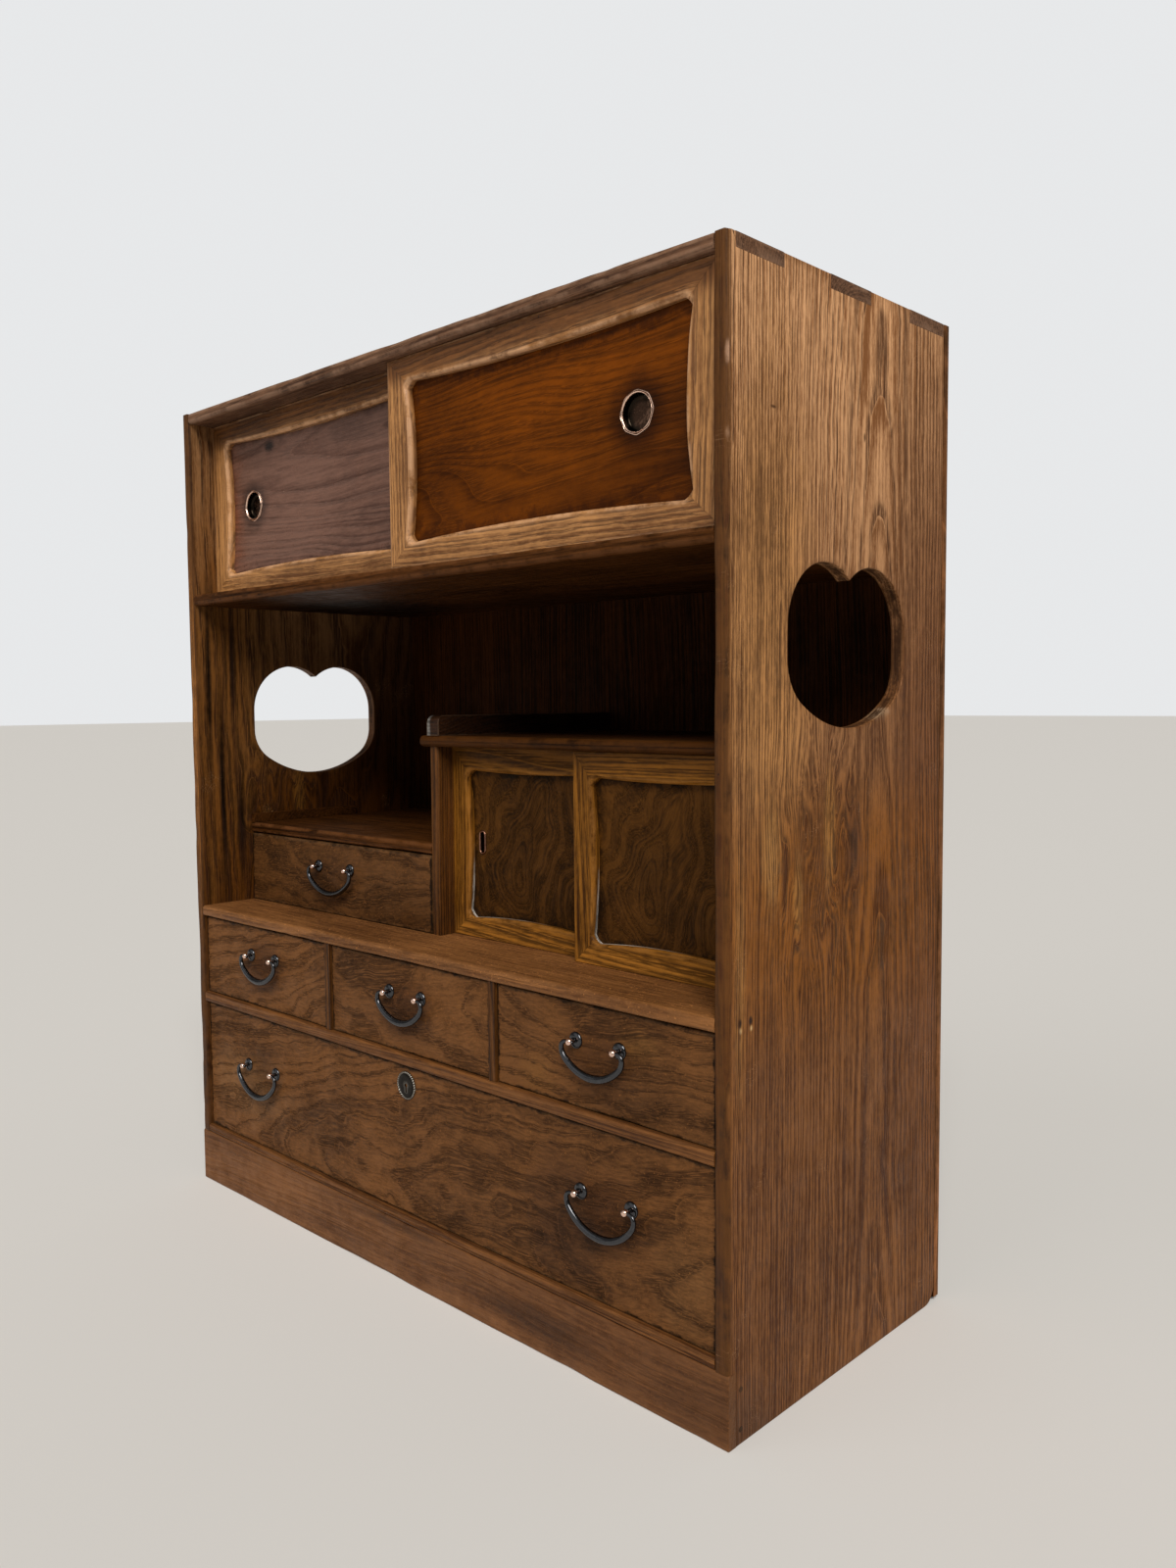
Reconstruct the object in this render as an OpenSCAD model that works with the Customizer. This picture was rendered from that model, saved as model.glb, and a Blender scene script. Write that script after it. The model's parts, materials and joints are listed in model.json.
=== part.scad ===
// Tea cabinet: sliding doors above, an open stepped niche, a small cupboard and five drawers.
// Millimetres, +Z up, the front faces -Y, the origin is on the floor under the middle of the carcass.
// Inside the modules y counts back from the front plane; set_back() moves it into the part's frame.

/* [Carcass] */
// Width over the two side boards
body_w = 873; // [840:1:920]
// Height from the floor to the top board
body_h = 1000; // [980:1:1040]
// Depth of the side boards, without the back panel
body_d = 353; // [340:1:380]
// Thickness of the side boards
side_t = 15; // [13:0.5:18]
// Thickness of the top board
top_t = 13; // [12:0.5:16]
// Thickness of the back panel
back_t = 9; // [7:0.5:12]
// Height of the back panel's lower edge above the floor
back_foot = 4; // [2:1:12]
// How deep the shelves are let into the side boards
housing = 4; // [3:0.5:6]
// Rounding of the front arrises
arris_r = 3; // [1.5:0.5:4]
// Rounding at the rear foot of the side boards
heel_r = 20; // [8:1:30]
// Glue line between mitred or butted members
glue = 0.1; // [0.05:0.05:0.2]
// Play of pegs, nails, shanks and cups in their holes
snug = 0.1; // [0.05:0.05:0.15]

/* [Top joint] */
// Width of each finger of the top board that shows on the sides
finger_w = 67; // [55:1:72]
// Distance from the front plane to the first finger
finger_start = 10.5; // [8:0.5:16]
// Distance between the starts of two fingers
finger_pitch = 137; // [128:1:140]
// Number of fingers on each side
finger_n = 3; // [2:1:3]

/* [Levels] */
// Height of the plinth board
plinth_h = 66; // [56:1:76]
// Thickness of the plinth board
plinth_t = 11; // [9:0.5:14]
// Thickness of the bottom board and its front rail
bottom_t = 10; // [9:0.5:14]
// Depth of the bottom front rail
bottom_rail_d = 32; // [24:1:50]
// Radius of the small groove along the bottom rail
rail_quirk_r = 0.9; // [0.5:0.1:1.2]
// Height of that groove above the plinth
rail_quirk_z = 4; // [3.5:0.5:6]
// Clear height for the wide drawer
wide_opening_h = 165; // [150:1:180]
// Thickness of the rail over the wide drawer
rail_t = 13; // [12:0.5:16]
// Depth of the rail over the wide drawer
rail_d = 42; // [36:1:60]
// Clear height for the row of three drawers
row_opening_h = 101; // [90:1:115]
// Thickness of the two dividers between the three drawers
divider_t = 9.5; // [8:0.5:14]
// Distance of the dividers' fronts from the front plane
divider_set = 2; // [1:0.5:5]
// Thickness of the counter board
counter_t = 13; // [12:0.5:16]
// Clear height of the upper cupboard
upper_opening_h = 216; // [195:1:235]
// Thickness of the upper shelf
shelf_t = 14; // [12:0.5:18]
// Width of the drawer runners along the side boards
runner_w = 22; // [16:1:30]
// Thickness of the drawer runners
runner_t = 10; // [8:0.5:12]

/* [Niche] */
// Clear height of the small drawer's opening
small_opening_h = 91; // [82:1:100]
// Clear height of the small cupboard
cupboard_opening_h = 213; // [196:1:225]
// Thickness of the step shelf over the small drawer
step_t = 12.5; // [10:0.5:15]
// Thickness of the small cupboard's top
cupboard_top_t = 12.5; // [11:0.5:15]
// Distance of the step shelf and the partition from the front plane
inner_front = 75; // [65:1:90]
// Distance of the small cupboard's top from the front plane
cupboard_front = 70; // [60:1:74]
// Left face of the partition, measured from the middle
partition_x = 38.8; // [20:0.1:60]
// Thickness of the partition
partition_t = 13.8; // [12:0.1:18]
// How far the small cupboard's top reaches past the partition
cupboard_lip = 11; // [5:1:20]
// Width of the gallery rail on the small cupboard
gallery_w = 20; // [12:1:26]
// Height of the gallery rail
gallery_h = 22.5; // [15:0.5:40]
// Rounding of the gallery rail's front corner
gallery_r = 9; // [3:1:12]
// Distance of the gallery rail behind the cupboard top's front
gallery_set = 2; // [1:0.5:6]
// Half the flat between the roundings of the cupboard top's front
nose_flat = 0.5; // [0.3:0.1:2]
// Length of the batten on the left wall over the step shelf
batten_l = 165; // [80:1:200]
// Height of that batten
batten_h = 12; // [8:1:18]
// Thickness of that batten
batten_t = 6; // [4:0.5:10]

/* [Side cut-outs] */
// Width of each cut-out
cut_w = 196; // [180:1:210]
// Height of each cut-out
cut_h = 147; // [135:1:155]
// Radius of the two upper lobes
lobe_r = 60; // [54:1:66]
// Distance from the middle to each lobe's centre
lobe_off = 38; // [32:1:44]
// Radius of the lower corners
cut_corner_r = 45; // [40:1:55]
// Height of the lower corners' centres above the lowest point
cut_shoulder = 61; // [58:1:70]
// Middle of the cut-outs, measured back from the front plane
cut_mid = 182; // [160:1:190]
// Lowest point of the right cut-out above the small cupboard's top
right_cut_rise = 10.5; // [8:0.5:14]
// Lowest point of the left cut-out above the step shelf
left_cut_rise = 63; // [40:1:90]

/* [Sliding doors] */
// Width of each upper door
upper_door_w = 438; // [432:1:470]
// Thickness of the upper doors
upper_door_t = 20; // [17:0.5:22]
// Distance of the right upper door from the front plane
upper_track = 10; // [8:0.5:14]
// Width of the upper doors' stiles at the corners
upper_stile = 28.5; // [25:0.5:34]
// Width of the upper doors' rails at the corners
upper_rail = 24.5; // [20:0.5:30]
// How far the upper stiles swell in the middle
upper_stile_swell = 8; // [3:0.5:10]
// How far the upper rails swell in the middle
upper_rail_swell = 6; // [2:0.5:9]
// Width of each small door
small_door_w = 238; // [234:1:260]
// Thickness of the small doors
small_door_t = 14; // [12:0.5:16]
// Distance of the right small door from the front plane
small_track = 79; // [77:0.5:86]
// Width of the small doors' stiles at the corners
small_stile = 22; // [18:0.5:26]
// Width of the small doors' lower rail at the corners
small_rail_low = 20; // [17:0.5:24]
// Width of the small doors' upper rail at the corners
small_rail_high = 25; // [20:0.5:28]
// How far the small stiles and the lower rail swell in the middle
small_swell = 6; // [2:0.5:8]
// How far the small doors' upper rail swells in the middle
small_high_swell = 3; // [1:0.5:6]
// Rounding of the openings' corners in the door frames
opening_r = 13; // [8:1:18]
// Gap between the two doors of a pair
track_gap = 3.5; // [3:0.5:6]
// How far a door's tongue stands out of its top and bottom edge
tongue_h = 2.5; // [2:0.1:3]
// Thickness of the tongues
tongue_t = 6; // [5:0.5:8]
// Depth of the lower grooves
low_groove = 2.8; // [2.8:0.1:3.6]
// Depth of the upper grooves, deep enough to lift a door out
high_groove = 5.8; // [5.5:0.1:6.5]
// Play of a tongue on each side of its groove
groove_play = 0.5; // [0.4:0.1:0.8]
// Gap over and under a door at its shoulders
door_play = 0.4; // [0.3:0.1:0.6]
// Gap between a closed door and the wall it closes against
end_play = 0.3; // [0.3:0.1:1]
// Depth from the frame's face to the panel's face on the upper doors
upper_sink = 8.5; // [6:0.5:10]
// Depth from the frame's face to the panel's face on the small doors
small_sink = 8; // [6:0.5:8]
// Thickness of the upper door panels
upper_panel_t = 6; // [5:0.5:7]
// Thickness of the small door panels
small_panel_t = 3.5; // [3:0.5:4]
// How deep the panels are let into their frames
panel_let = 5; // [3:0.5:8]

/* [Door pulls] */
// Outer radius of the round pulls
pull_r = 19.7; // [16:0.1:22]
// Radius of the round pulls' cups
pull_cup_r = 17; // [13:0.1:19]
// Depth of the round pulls' cups below the panel's face
pull_depth = 8; // [6.5:0.5:9]
// Distance of the right door's round pull from the outer edge of the opening
right_pull_inset = 68; // [45:1:90]
// Distance of the left door's round pull from the outer edge of the opening
left_pull_inset = 54; // [45:1:90]
// Wall of all the pulls
pull_wall = 0.8; // [0.6:0.1:1]
// Height of the pulls' rims over the panel's face
pull_rim = 1.4; // [1:0.1:2]
// Width of the slim pulls
slim_w = 11; // [10:0.5:14]
// Length of the slim pulls
slim_l = 27; // [22:0.5:36]
// Width of the slim pulls' rims
slim_rim_w = 1.3; // [1:0.1:1.6]
// Depth of the slim pulls below the panel's face
slim_depth = 5.5; // [4.5:0.5:5.5]
// Distance of the slim pulls from the outer edge of the opening
slim_inset = 19; // [16:1:40]

/* [Drawers] */
// Thickness of the drawer fronts
front_t = 18; // [15:0.5:22]
// Distance of the lower drawers' fronts from the front plane
drawer_set = 5; // [2:0.5:8]
// Gap on each side of a drawer
drawer_play = 1; // [0.6:0.1:2]
// Gap over a drawer
drawer_head = 1.4; // [1:0.1:3]
// Gap under a drawer
drawer_foot = 0.3; // [0.2:0.1:0.6]
// Thickness of the drawers' sides and backs
wall_t = 9; // [7:0.5:12]
// How far the drawers' sides and backs stay below the front's top
wall_drop = 6; // [3:1:15]
// How much of the front laps over the ends of the drawer's sides
lap_t = 7; // [5:0.5:10]
// Thickness of the drawer bottoms
bed_t = 5; // [4:0.5:8]
// Height of the drawer bottoms over the lower edge
bed_rise = 4; // [3:0.5:8]
// How deep the drawer bottoms are let into their grooves
bed_let = 3; // [2:0.5:4]
// Gap behind the drawers
drawer_rear = 10; // [5:1:20]

/* [Bail handles] */
// Distance of a bail's axis from the drawer front
bail_out = 9; // [8:0.5:11]
// Radius of the bails' bars in the middle
bar_r = 3.1; // [2.4:0.1:3.5]
// Radius of the bails' arms
arm_r = 2.3; // [1.8:0.1:2.4]
// How far the rounded knuckles of a bail stand proud
knuckle = 0.2; // [0.1:0.05:0.4]
// Radius of the bails' tips
tip_r = 1.6; // [1.4:0.1:1.7]
// How far a bail's tip reaches past its eye
tip_past = 1; // [0.5:0.1:2]
// Gap around a bail's tip in its eye
tip_play = 0.3; // [0.25:0.05:0.4]
// Radius of the eyes' balls
ball_r = 3.6; // [3.4:0.1:4]
// How far the arms reach out beyond the eyes
arm_out = 12; // [11:0.5:14]
// Radius of the arms' bend as a share of the drop
arm_bend = 0.42; // [0.36:0.01:0.48]
// Radius of the curl at a bail's tips
curl_r = 6; // [5:0.5:7]
// Radius of the posts' stems
stem_r = 2; // [1.6:0.1:2.3]
// Radius of the rosettes behind the posts
rosette_r = 8; // [6:0.1:9]
// Height of the rosettes
rosette_h = 3.2; // [2.4:0.1:3.8]
// Radius of the washers inside the drawers
washer_r = 6; // [5:0.1:8]
// Thickness of the washers inside the drawers
washer_t = 1.2; // [1:0.1:2]
// Eye spacing of the bails on the row of three
row_bail_w = 54.6; // [50:0.1:64]
// Drop of the bails on the row of three
row_bail_drop = 31; // [28:0.5:36]
// Eye height of these bails above the drawer's lower edge
row_bail_z = 63; // [50:1:75]
// Eye spacing of the small drawer's bail
small_bail_w = 67; // [56:0.1:76]
// Drop of the small drawer's bail
small_bail_drop = 34; // [29:0.5:38]
// Eye height of that bail above the drawer's lower edge
small_bail_z = 58; // [48:1:66]
// Eye spacing of the wide drawer's bails
wide_bail_w = 63; // [54:0.1:76]
// Drop of the wide drawer's bails
wide_bail_drop = 36; // [33:0.5:44]
// Eye height of these bails above the drawer's lower edge
wide_bail_z = 99; // [80:1:125]
// Distance of the wide drawer's bails from the middle
wide_bail_x = 293; // [180:1:330]

/* [Lock] */
// Radius of the round key plate
plate_r = 15.5; // [12:0.5:18]
// Thickness of the key plate
plate_t = 1.4; // [1:0.1:2]
// Radius of the key plate's beaded rim
bead_r = 1.1; // [0.8:0.1:1.4]
// Distance of the keyhole below the top of the drawer front
keyhole_drop = 21; // [17:1:26]
// Width of the lock case
lock_w = 52; // [44:1:64]
// Height of the lock case
lock_h = 36; // [30:1:44]
// Thickness of the lock case
lock_t = 8; // [7:0.5:10]
// Width of the lock bolt
bolt_w = 20; // [14:1:26]
// Thickness of the lock bolt
bolt_t = 4; // [3:0.5:5]
// Length of the lock bolt
bolt_l = 18; // [14:1:20]
// Throw of the lock bolt
bolt_throw = 7; // [4:0.5:8]
// Gap around the lock bolt
bolt_play = 0.4; // [0.3:0.1:0.6]
// Gap around the bolt's end in its mortise
mortise_gap = 1; // [0.5:0.1:1.5]
// Radius of the keyhole's round part
key_r = 2.2; // [1.8:0.1:3]
// Length of the keyhole below its centre
key_l = 8; // [6:0.5:10]

/* [Fasteners] */
// Radius of the nail shanks in the back panel
nail_r = 1.2; // [1:0.1:1.6]
// Radius of the nail heads
nail_head_r = 3; // [2.5:0.1:4]
// Height of the nail heads
nail_head_h = 0.8; // [0.6:0.1:1.2]
// Length of the nail shanks
nail_l = 24; // [18:1:35]
// Nails down each side of the back panel
nail_n = 7; // [5:1:9]
// Distance of the end nails from the top and the bottom
nail_end = 40; // [30:1:60]
// Radius of the pegs at the ends of the plinth
peg_r = 2.6; // [2:0.1:3.5]
// Height of the lower pegs as a share of the plinth's
peg_low = 0.2; // [0.15:0.01:0.3]
// Height of the upper pegs as a share of the plinth's
peg_high = 0.73; // [0.65:0.01:0.8]
// Distance of the pegs from the front plane
peg_y = 17.5; // [16:0.5:22]
// Size of the blocks behind the plinth's ends
block_w = 28; // [20:1:40]

/* [Hidden] */
$fn = 64;
over = 1;
in_w = body_w - 2 * side_t;
in_x = in_w / 2;
out_x = body_w / 2;
ceil_z = body_h - top_t;
floor_z = plinth_h + bottom_t;
rail_z = floor_z + wide_opening_h;
row_z = rail_z + rail_t;
counter_low = row_z + row_opening_h;
counter_z = counter_low + counter_t;
step_low = counter_z + small_opening_h;
step_z = step_low + step_t;
cup_low = counter_z + cupboard_opening_h;
cup_z = cup_low + cupboard_top_t;
shelf_z = ceil_z - upper_opening_h;
shelf_low = shelf_z - shelf_t;
part_x0 = -partition_x;
part_x1 = part_x0 + partition_t;
row_w = (in_w - 2 * divider_t) / 3;
divider_x = (row_w + divider_t) / 2;
back_y = body_d + back_t;
origin_y = back_y / 2;
upper_left_track = upper_track + upper_door_t + track_gap;
small_left_track = small_track + small_door_t + track_gap;
peg_zs = [plinth_h * peg_low, plinth_h * peg_high];
nail_step = (body_h - 2 * nail_end) / (nail_n - 1);
nail_zs = [for (i = [0 : nail_n - 1]) nail_end + i * nail_step];
drawer_y1 = body_d - drawer_rear;
bolt_in = front_t - lock_t / 2;

side_wood = [0.50, 0.33, 0.19];
dark_wood = [0.30, 0.20, 0.13];
frame_wood = [0.52, 0.31, 0.14];
front_wood = [0.36, 0.24, 0.15];
panel_wood = [0.44, 0.23, 0.11];
inner_wood = [0.58, 0.46, 0.32];
iron = [0.13, 0.13, 0.14];
copper = [0.60, 0.34, 0.20];

// Moves a piece from the front plane into the part's frame
module set_back() {
    translate([0, -origin_y, 0])
        children();
}

// A block between two corners
module slab(x, y, z) {
    translate([x[0], y[0], z[0]])
        cube([x[1] - x[0], y[1] - y[0], z[1] - z[0]]);
}

// Runs a flat shape, drawn in y and z, along X
module along_x(x) {
    translate([x[0], 0, 0])
        rotate([90, 0, 90])
            linear_extrude(x[1] - x[0])
                children();
}

// Gives a flat shape, drawn in x and z, a thickness in y
module along_y(y) {
    translate([0, y[1], 0])
        rotate([90, 0, 0])
            linear_extrude(y[1] - y[0])
                children();
}

// A board's end with its two front corners rounded
module nosed(y, z, r) {
    translate([y[0] + r, z[0]])
        square([y[1] - y[0] - r, z[1] - z[0]]);
    translate([y[0], z[0] + r])
        square([2 * r, z[1] - z[0] - 2 * r]);
    for (h = [z[0] + r, z[1] - r])
        translate([y[0] + r, h])
            circle(r);
}

// A board across the cabinet with a rounded front edge
module nosed_board(x, y, z, r) {
    along_x(x)
        nosed(y, z, r);
}

// A straight rod along Y
module rod_y(y, r) {
    translate([0, y[1], 0])
        rotate([90, 0, 0])
            cylinder(r = r, h = y[1] - y[0]);
}

// A straight rod along X
module rod_x(x, r) {
    translate([x[0], 0, 0])
        rotate([0, 90, 0])
            cylinder(r = r, h = x[1] - x[0]);
}

// The lobed cut-out, drawn in y and z with its lowest point at the origin
module cut_shape() {
    dx = cut_w / 2 - cut_corner_r;
    low_r = (dx * dx + pow(cut_shoulder, 2) - pow(cut_corner_r, 2))
        / (2 * (cut_shoulder - cut_corner_r));
    reach = low_r / (low_r - cut_corner_r);
    join_y = dx * reach;
    join_z = low_r - (low_r - cut_shoulder) * reach;
    lobe_z = cut_h - lobe_r;
    translate([-cut_w / 2, cut_shoulder])
        square([cut_w, lobe_z - cut_shoulder]);
    polygon([[-join_y, join_z], [join_y, join_z], [cut_w / 2, cut_shoulder],
        [-cut_w / 2, cut_shoulder]]);
    for (s = [-1, 1]) {
        translate([s * lobe_off, lobe_z])
            circle(lobe_r);
        translate([s * dx, cut_shoulder])
            circle(cut_corner_r);
    }
    intersection() {
        translate([0, low_r])
            circle(low_r, $fn = 180);
        translate([-join_y, -over])
            square([2 * join_y, join_z + over]);
    }
}

// Where the shelves enter the side boards, as pairs of depth and height
module housings() {
    grow = in_x + housing;
    slab([-grow, grow], [arris_r, body_d], [plinth_h, floor_z]);
    slab([-grow, grow], [arris_r, rail_d], [rail_z, row_z]);
    slab([-grow, grow], [arris_r, body_d], [counter_low, counter_z]);
    slab([-grow, grow], [arris_r, body_d], [shelf_low, shelf_z]);
}

// A board that crosses the cabinet: full width at the front, let in behind the arris
module housed_board(y, z) {
    nosed_board([-in_x, in_x], y, z, arris_r);
    slab([-in_x - housing, in_x + housing], [y[0] + arris_r, y[1]], z);
}

module nails(r_shank, head) {
    for (s = [-1, 1], h = nail_zs)
        translate([s * (out_x - side_t / 2), 0, h]) {
            rod_y([back_y - nail_l, back_y], r_shank);
            if (head)
                rod_y([back_y, back_y + nail_head_h], nail_head_r);
        }
}

module pegs(x, r) {
    for (s = [-1, 1], h = peg_zs)
        translate([0, peg_y, h])
            mirror([s < 0 ? 1 : 0, 0, 0])
                rod_x(x, r);
}

module finger_slots() {
    for (i = [0 : finger_n - 1]) {
        start = finger_start + i * finger_pitch;
        slab([-out_x - over, out_x + over], [start, start + finger_w], [ceil_z, body_h + over]);
    }
}

module side_board(cut_z) {
    difference() {
        translate([in_x, 0, 0])
            linear_extrude(body_h)
                union() {
                    translate([0, arris_r])
                        square([side_t, body_d - arris_r]);
                    translate([arris_r, 0])
                        square([side_t - 2 * arris_r, 2 * arris_r]);
                    for (x = [arris_r, side_t - arris_r])
                        translate([x, arris_r])
                            circle(arris_r);
                }
        translate([0, cut_mid, cut_z])
            along_x([in_x - over, out_x + over])
                cut_shape();
        slab([in_x - over, out_x + over], [-over, plinth_t], [-over, plinth_h]);
        difference() {
            slab([in_x - over, out_x + over], [body_d - heel_r, body_d + over], [-over, heel_r]);
            translate([0, body_d - heel_r, heel_r])
                rod_x([in_x - over, out_x + over], heel_r);
        }
        housings();
        finger_slots();
        nails(nail_r + snug, false);
        pegs([in_x - over, out_x + over], peg_r + snug);
    }
}

module left_side() color(side_wood) set_back()
    mirror([1, 0, 0])
        side_board(step_z + left_cut_rise);

module right_side() color(side_wood) set_back()
    side_board(cup_z + right_cut_rise);

module track(y, t, z, depth, x) {
    slab(x, [y + t / 2 - tongue_t / 2 - groove_play, y + t / 2 + tongue_t / 2 + groove_play],
        [z, z + depth]);
}

module upper_tracks(z, depth) {
    for (y = [upper_track, upper_left_track])
        track(y, upper_door_t, z, depth, [-in_x, in_x]);
}

module small_tracks(z, depth) {
    for (y = [small_track, small_left_track])
        track(y, small_door_t, z, depth, [part_x1, in_x]);
}

module top_board() color(dark_wood) set_back()
    difference() {
        union() {
            nosed_board([-in_x, in_x], [0, body_d], [ceil_z, body_h], arris_r);
            intersection() {
                slab([-out_x, out_x], [arris_r, body_d], [ceil_z, body_h]);
                finger_slots();
            }
        }
        upper_tracks(ceil_z - over, high_groove + over);
    }

module back_panel() color(dark_wood) set_back()
    difference() {
        slab([-out_x, out_x], [body_d, back_y], [back_foot, body_h]);
        nails(nail_r + snug, false);
    }

module back_nails() color(iron) set_back()
    nails(nail_r, true);

module plinth() color(front_wood) set_back()
    nosed_board([-out_x, out_x], [0, plinth_t], [0, plinth_h], arris_r / 2);

// The blocks glued behind the plinth's ends and the pegs driven into them through the sides
module plinth_blocks() color(inner_wood) set_back() {
    difference() {
        for (x = [[-in_x, -in_x + block_w], [in_x - block_w, in_x]])
            slab(x, [plinth_t, plinth_t + block_w], [0, plinth_h]);
        pegs([in_x - block_w / 2 - over, in_x + over], peg_r + snug);
    }
    pegs([in_x - block_w / 2, out_x], peg_r);
}

module bottom_board() color(inner_wood) set_back()
    slab([-in_x - housing, in_x + housing], [bottom_rail_d, body_d], [plinth_h, floor_z]);

module bottom_rail() color(front_wood) set_back()
    difference() {
        housed_board([0, bottom_rail_d], [plinth_h, floor_z]);
        translate([0, 0, plinth_h + rail_quirk_z])
            rod_x([-in_x, in_x], rail_quirk_r);
    }

module drawer_rail() color(front_wood) set_back()
    difference() {
        housed_board([0, rail_d], [rail_z, row_z]);
        slab([-bolt_w / 2 - mortise_gap, bolt_w / 2 + mortise_gap],
            [drawer_set + bolt_in - bolt_t / 2 - mortise_gap,
                drawer_set + bolt_in + bolt_t / 2 + mortise_gap],
            [rail_z - over, rail_z + bolt_throw + mortise_gap]);
    }

module drawer_runners() color(inner_wood) set_back() {
    z = [row_z - runner_t, row_z];
    for (s = [-1, 1]) {
        edge = [in_x - runner_w, in_x];
        slab(s > 0 ? edge : [-edge[1], -edge[0]], [rail_d, body_d], z);
        slab([s * divider_x - divider_t / 2 - runner_w, s * divider_x + divider_t / 2 + runner_w],
            [rail_d, body_d], z);
    }
}

module drawer_dividers() color(front_wood) set_back()
    for (s = [-1, 1])
        slab([s * divider_x - divider_t / 2, s * divider_x + divider_t / 2], [divider_set, body_d],
            [row_z, counter_low]);

module counter_board() color(front_wood) set_back()
    difference() {
        housed_board([0, body_d], [counter_low, counter_z]);
        small_tracks(counter_z - low_groove, low_groove + over);
    }

module upper_shelf() color(dark_wood) set_back()
    difference() {
        housed_board([0, body_d], [shelf_low, shelf_z]);
        upper_tracks(shelf_z - low_groove, low_groove + over);
    }

module step_shelf() color(dark_wood) set_back()
    nosed_board([-in_x, part_x0], [inner_front, body_d], [step_low, step_z], arris_r);

module wall_batten() color(dark_wood) set_back()
    slab([-in_x, -in_x + batten_t], [inner_front, inner_front + batten_l],
        [step_z, step_z + batten_h]);

module partition() color(dark_wood) set_back()
    translate([part_x0, 0, counter_z])
        linear_extrude(cup_low - counter_z)
            union() {
                translate([0, inner_front + arris_r])
                    square([partition_t, body_d - inner_front - arris_r]);
                translate([arris_r, inner_front])
                    square([partition_t - 2 * arris_r, 2 * arris_r]);
                for (x = [arris_r, partition_t - arris_r])
                    translate([x, inner_front + arris_r])
                        circle(arris_r);
            }

module cupboard_top() color(front_wood) set_back()
    difference() {
        nosed_board([part_x0 - cupboard_lip, in_x], [cupboard_front, body_d], [cup_low, cup_z],
            cupboard_top_t / 2 - nose_flat);
        small_tracks(cup_low - over, high_groove + over);
    }

module gallery_rail() color(dark_wood) set_back()
    difference() {
        slab([part_x0, part_x0 + gallery_w], [cupboard_front + gallery_set, body_d],
            [cup_z, cup_z + gallery_h]);
        translate([0, cupboard_front + gallery_set, cup_z + gallery_h - gallery_r])
            difference() {
                slab([part_x0 - over, part_x0 + gallery_w + over], [-over, gallery_r],
                    [0, gallery_r + over]);
                translate([0, gallery_r, 0])
                    rod_x([part_x0 - 2 * over, part_x0 + gallery_w + 2 * over], gallery_r);
            }
    }

// A large circle that bulges into an opening by the given rise over a chord
module swell(chord, rise) {
    r = (chord * chord / 4 + rise * rise) / (2 * rise);
    translate([0, rise - r])
        circle(r, $fn = 720);
}

// The opening of a door frame: w, h outside, stile and rails at the corners, their swells
module opening_shape(w, h, stile, low, high, swells) {
    ow = w - 2 * stile;
    oh = h - low - high;
    difference() {
        translate([stile, low]) {
            translate([opening_r, 0])
                square([ow - 2 * opening_r, oh]);
            translate([0, opening_r])
                square([ow, oh - 2 * opening_r]);
            for (x = [opening_r, ow - opening_r], z = [opening_r, oh - opening_r])
                translate([x, z])
                    circle(opening_r);
        }
        translate([w / 2, low])
            swell(ow, swells[1]);
        translate([w / 2, h - high])
            rotate(180)
                swell(ow, swells[2]);
        translate([stile, low + oh / 2])
            rotate(-90)
                swell(oh, swells[0]);
        translate([w - stile, low + oh / 2])
            rotate(90)
                swell(oh, swells[0]);
    }
}

// Four mitred members around the opening, grooved for the panel, with the running tongues
module door_frame(w, h, t, stile, low, high, swells, sink, panel_t) {
    far = 3;
    in_a = far * stile;
    in_b = far * low;
    in_c = h - far * high;
    ends = [
        [[glue, 0], [w - glue, 0], [w - in_a - glue, in_b], [in_a + glue, in_b]],
        [[glue, h], [w - glue, h], [w - in_a - glue, in_c], [in_a + glue, in_c]],
        [[0, 0], [in_a, in_b], [in_a, in_c], [0, h]],
        [[w, 0], [w - in_a, in_b], [w - in_a, in_c], [w, h]]
    ];
    for (e = ends)
        difference() {
            along_y([0, t])
                intersection() {
                    difference() {
                        square([w, h]);
                        opening_shape(w, h, stile, low, high, swells);
                    }
                    polygon(e);
                }
            slab([stile - panel_let, w - stile + panel_let], [sink, sink + panel_t],
                [low - panel_let, h - high + panel_let]);
        }
}

module running_frame(w, h, t, stile, low, high, swells, sink, panel_t) {
    difference() {
        door_frame(w, h, t, stile, low, high, swells, sink, panel_t);
        for (y = [[-over, t / 2 - tongue_t / 2], [t / 2 + tongue_t / 2, t + over]], z = [[-over, tongue_h],
            [h - tongue_h, h + over]])
            slab([-over, w + over], y, z);
    }
}

upper_h = upper_opening_h + 2 * tongue_h - 2 * door_play;
small_h = cupboard_opening_h + 2 * tongue_h - 2 * door_play;

module upper_door_frame()
    running_frame(upper_door_w, upper_h, upper_door_t, upper_stile,
        upper_rail + tongue_h, upper_rail + tongue_h,
        [upper_stile_swell, upper_rail_swell, upper_rail_swell], upper_sink, upper_panel_t);

module small_door_frame()
    running_frame(small_door_w, small_h, small_door_t, small_stile,
        small_rail_low + tongue_h, small_rail_high + tongue_h,
        [small_swell, small_swell, small_high_swell], small_sink, small_panel_t);

// A slim slot with round ends, drawn upright about the origin
module slim_shape(w, l) {
    translate([-w / 2, -l / 2 + w / 2])
        square([w, l - w]);
    for (s = [-1, 1])
        translate([0, s * (l / 2 - w / 2)])
            circle(w / 2);
}

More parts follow.
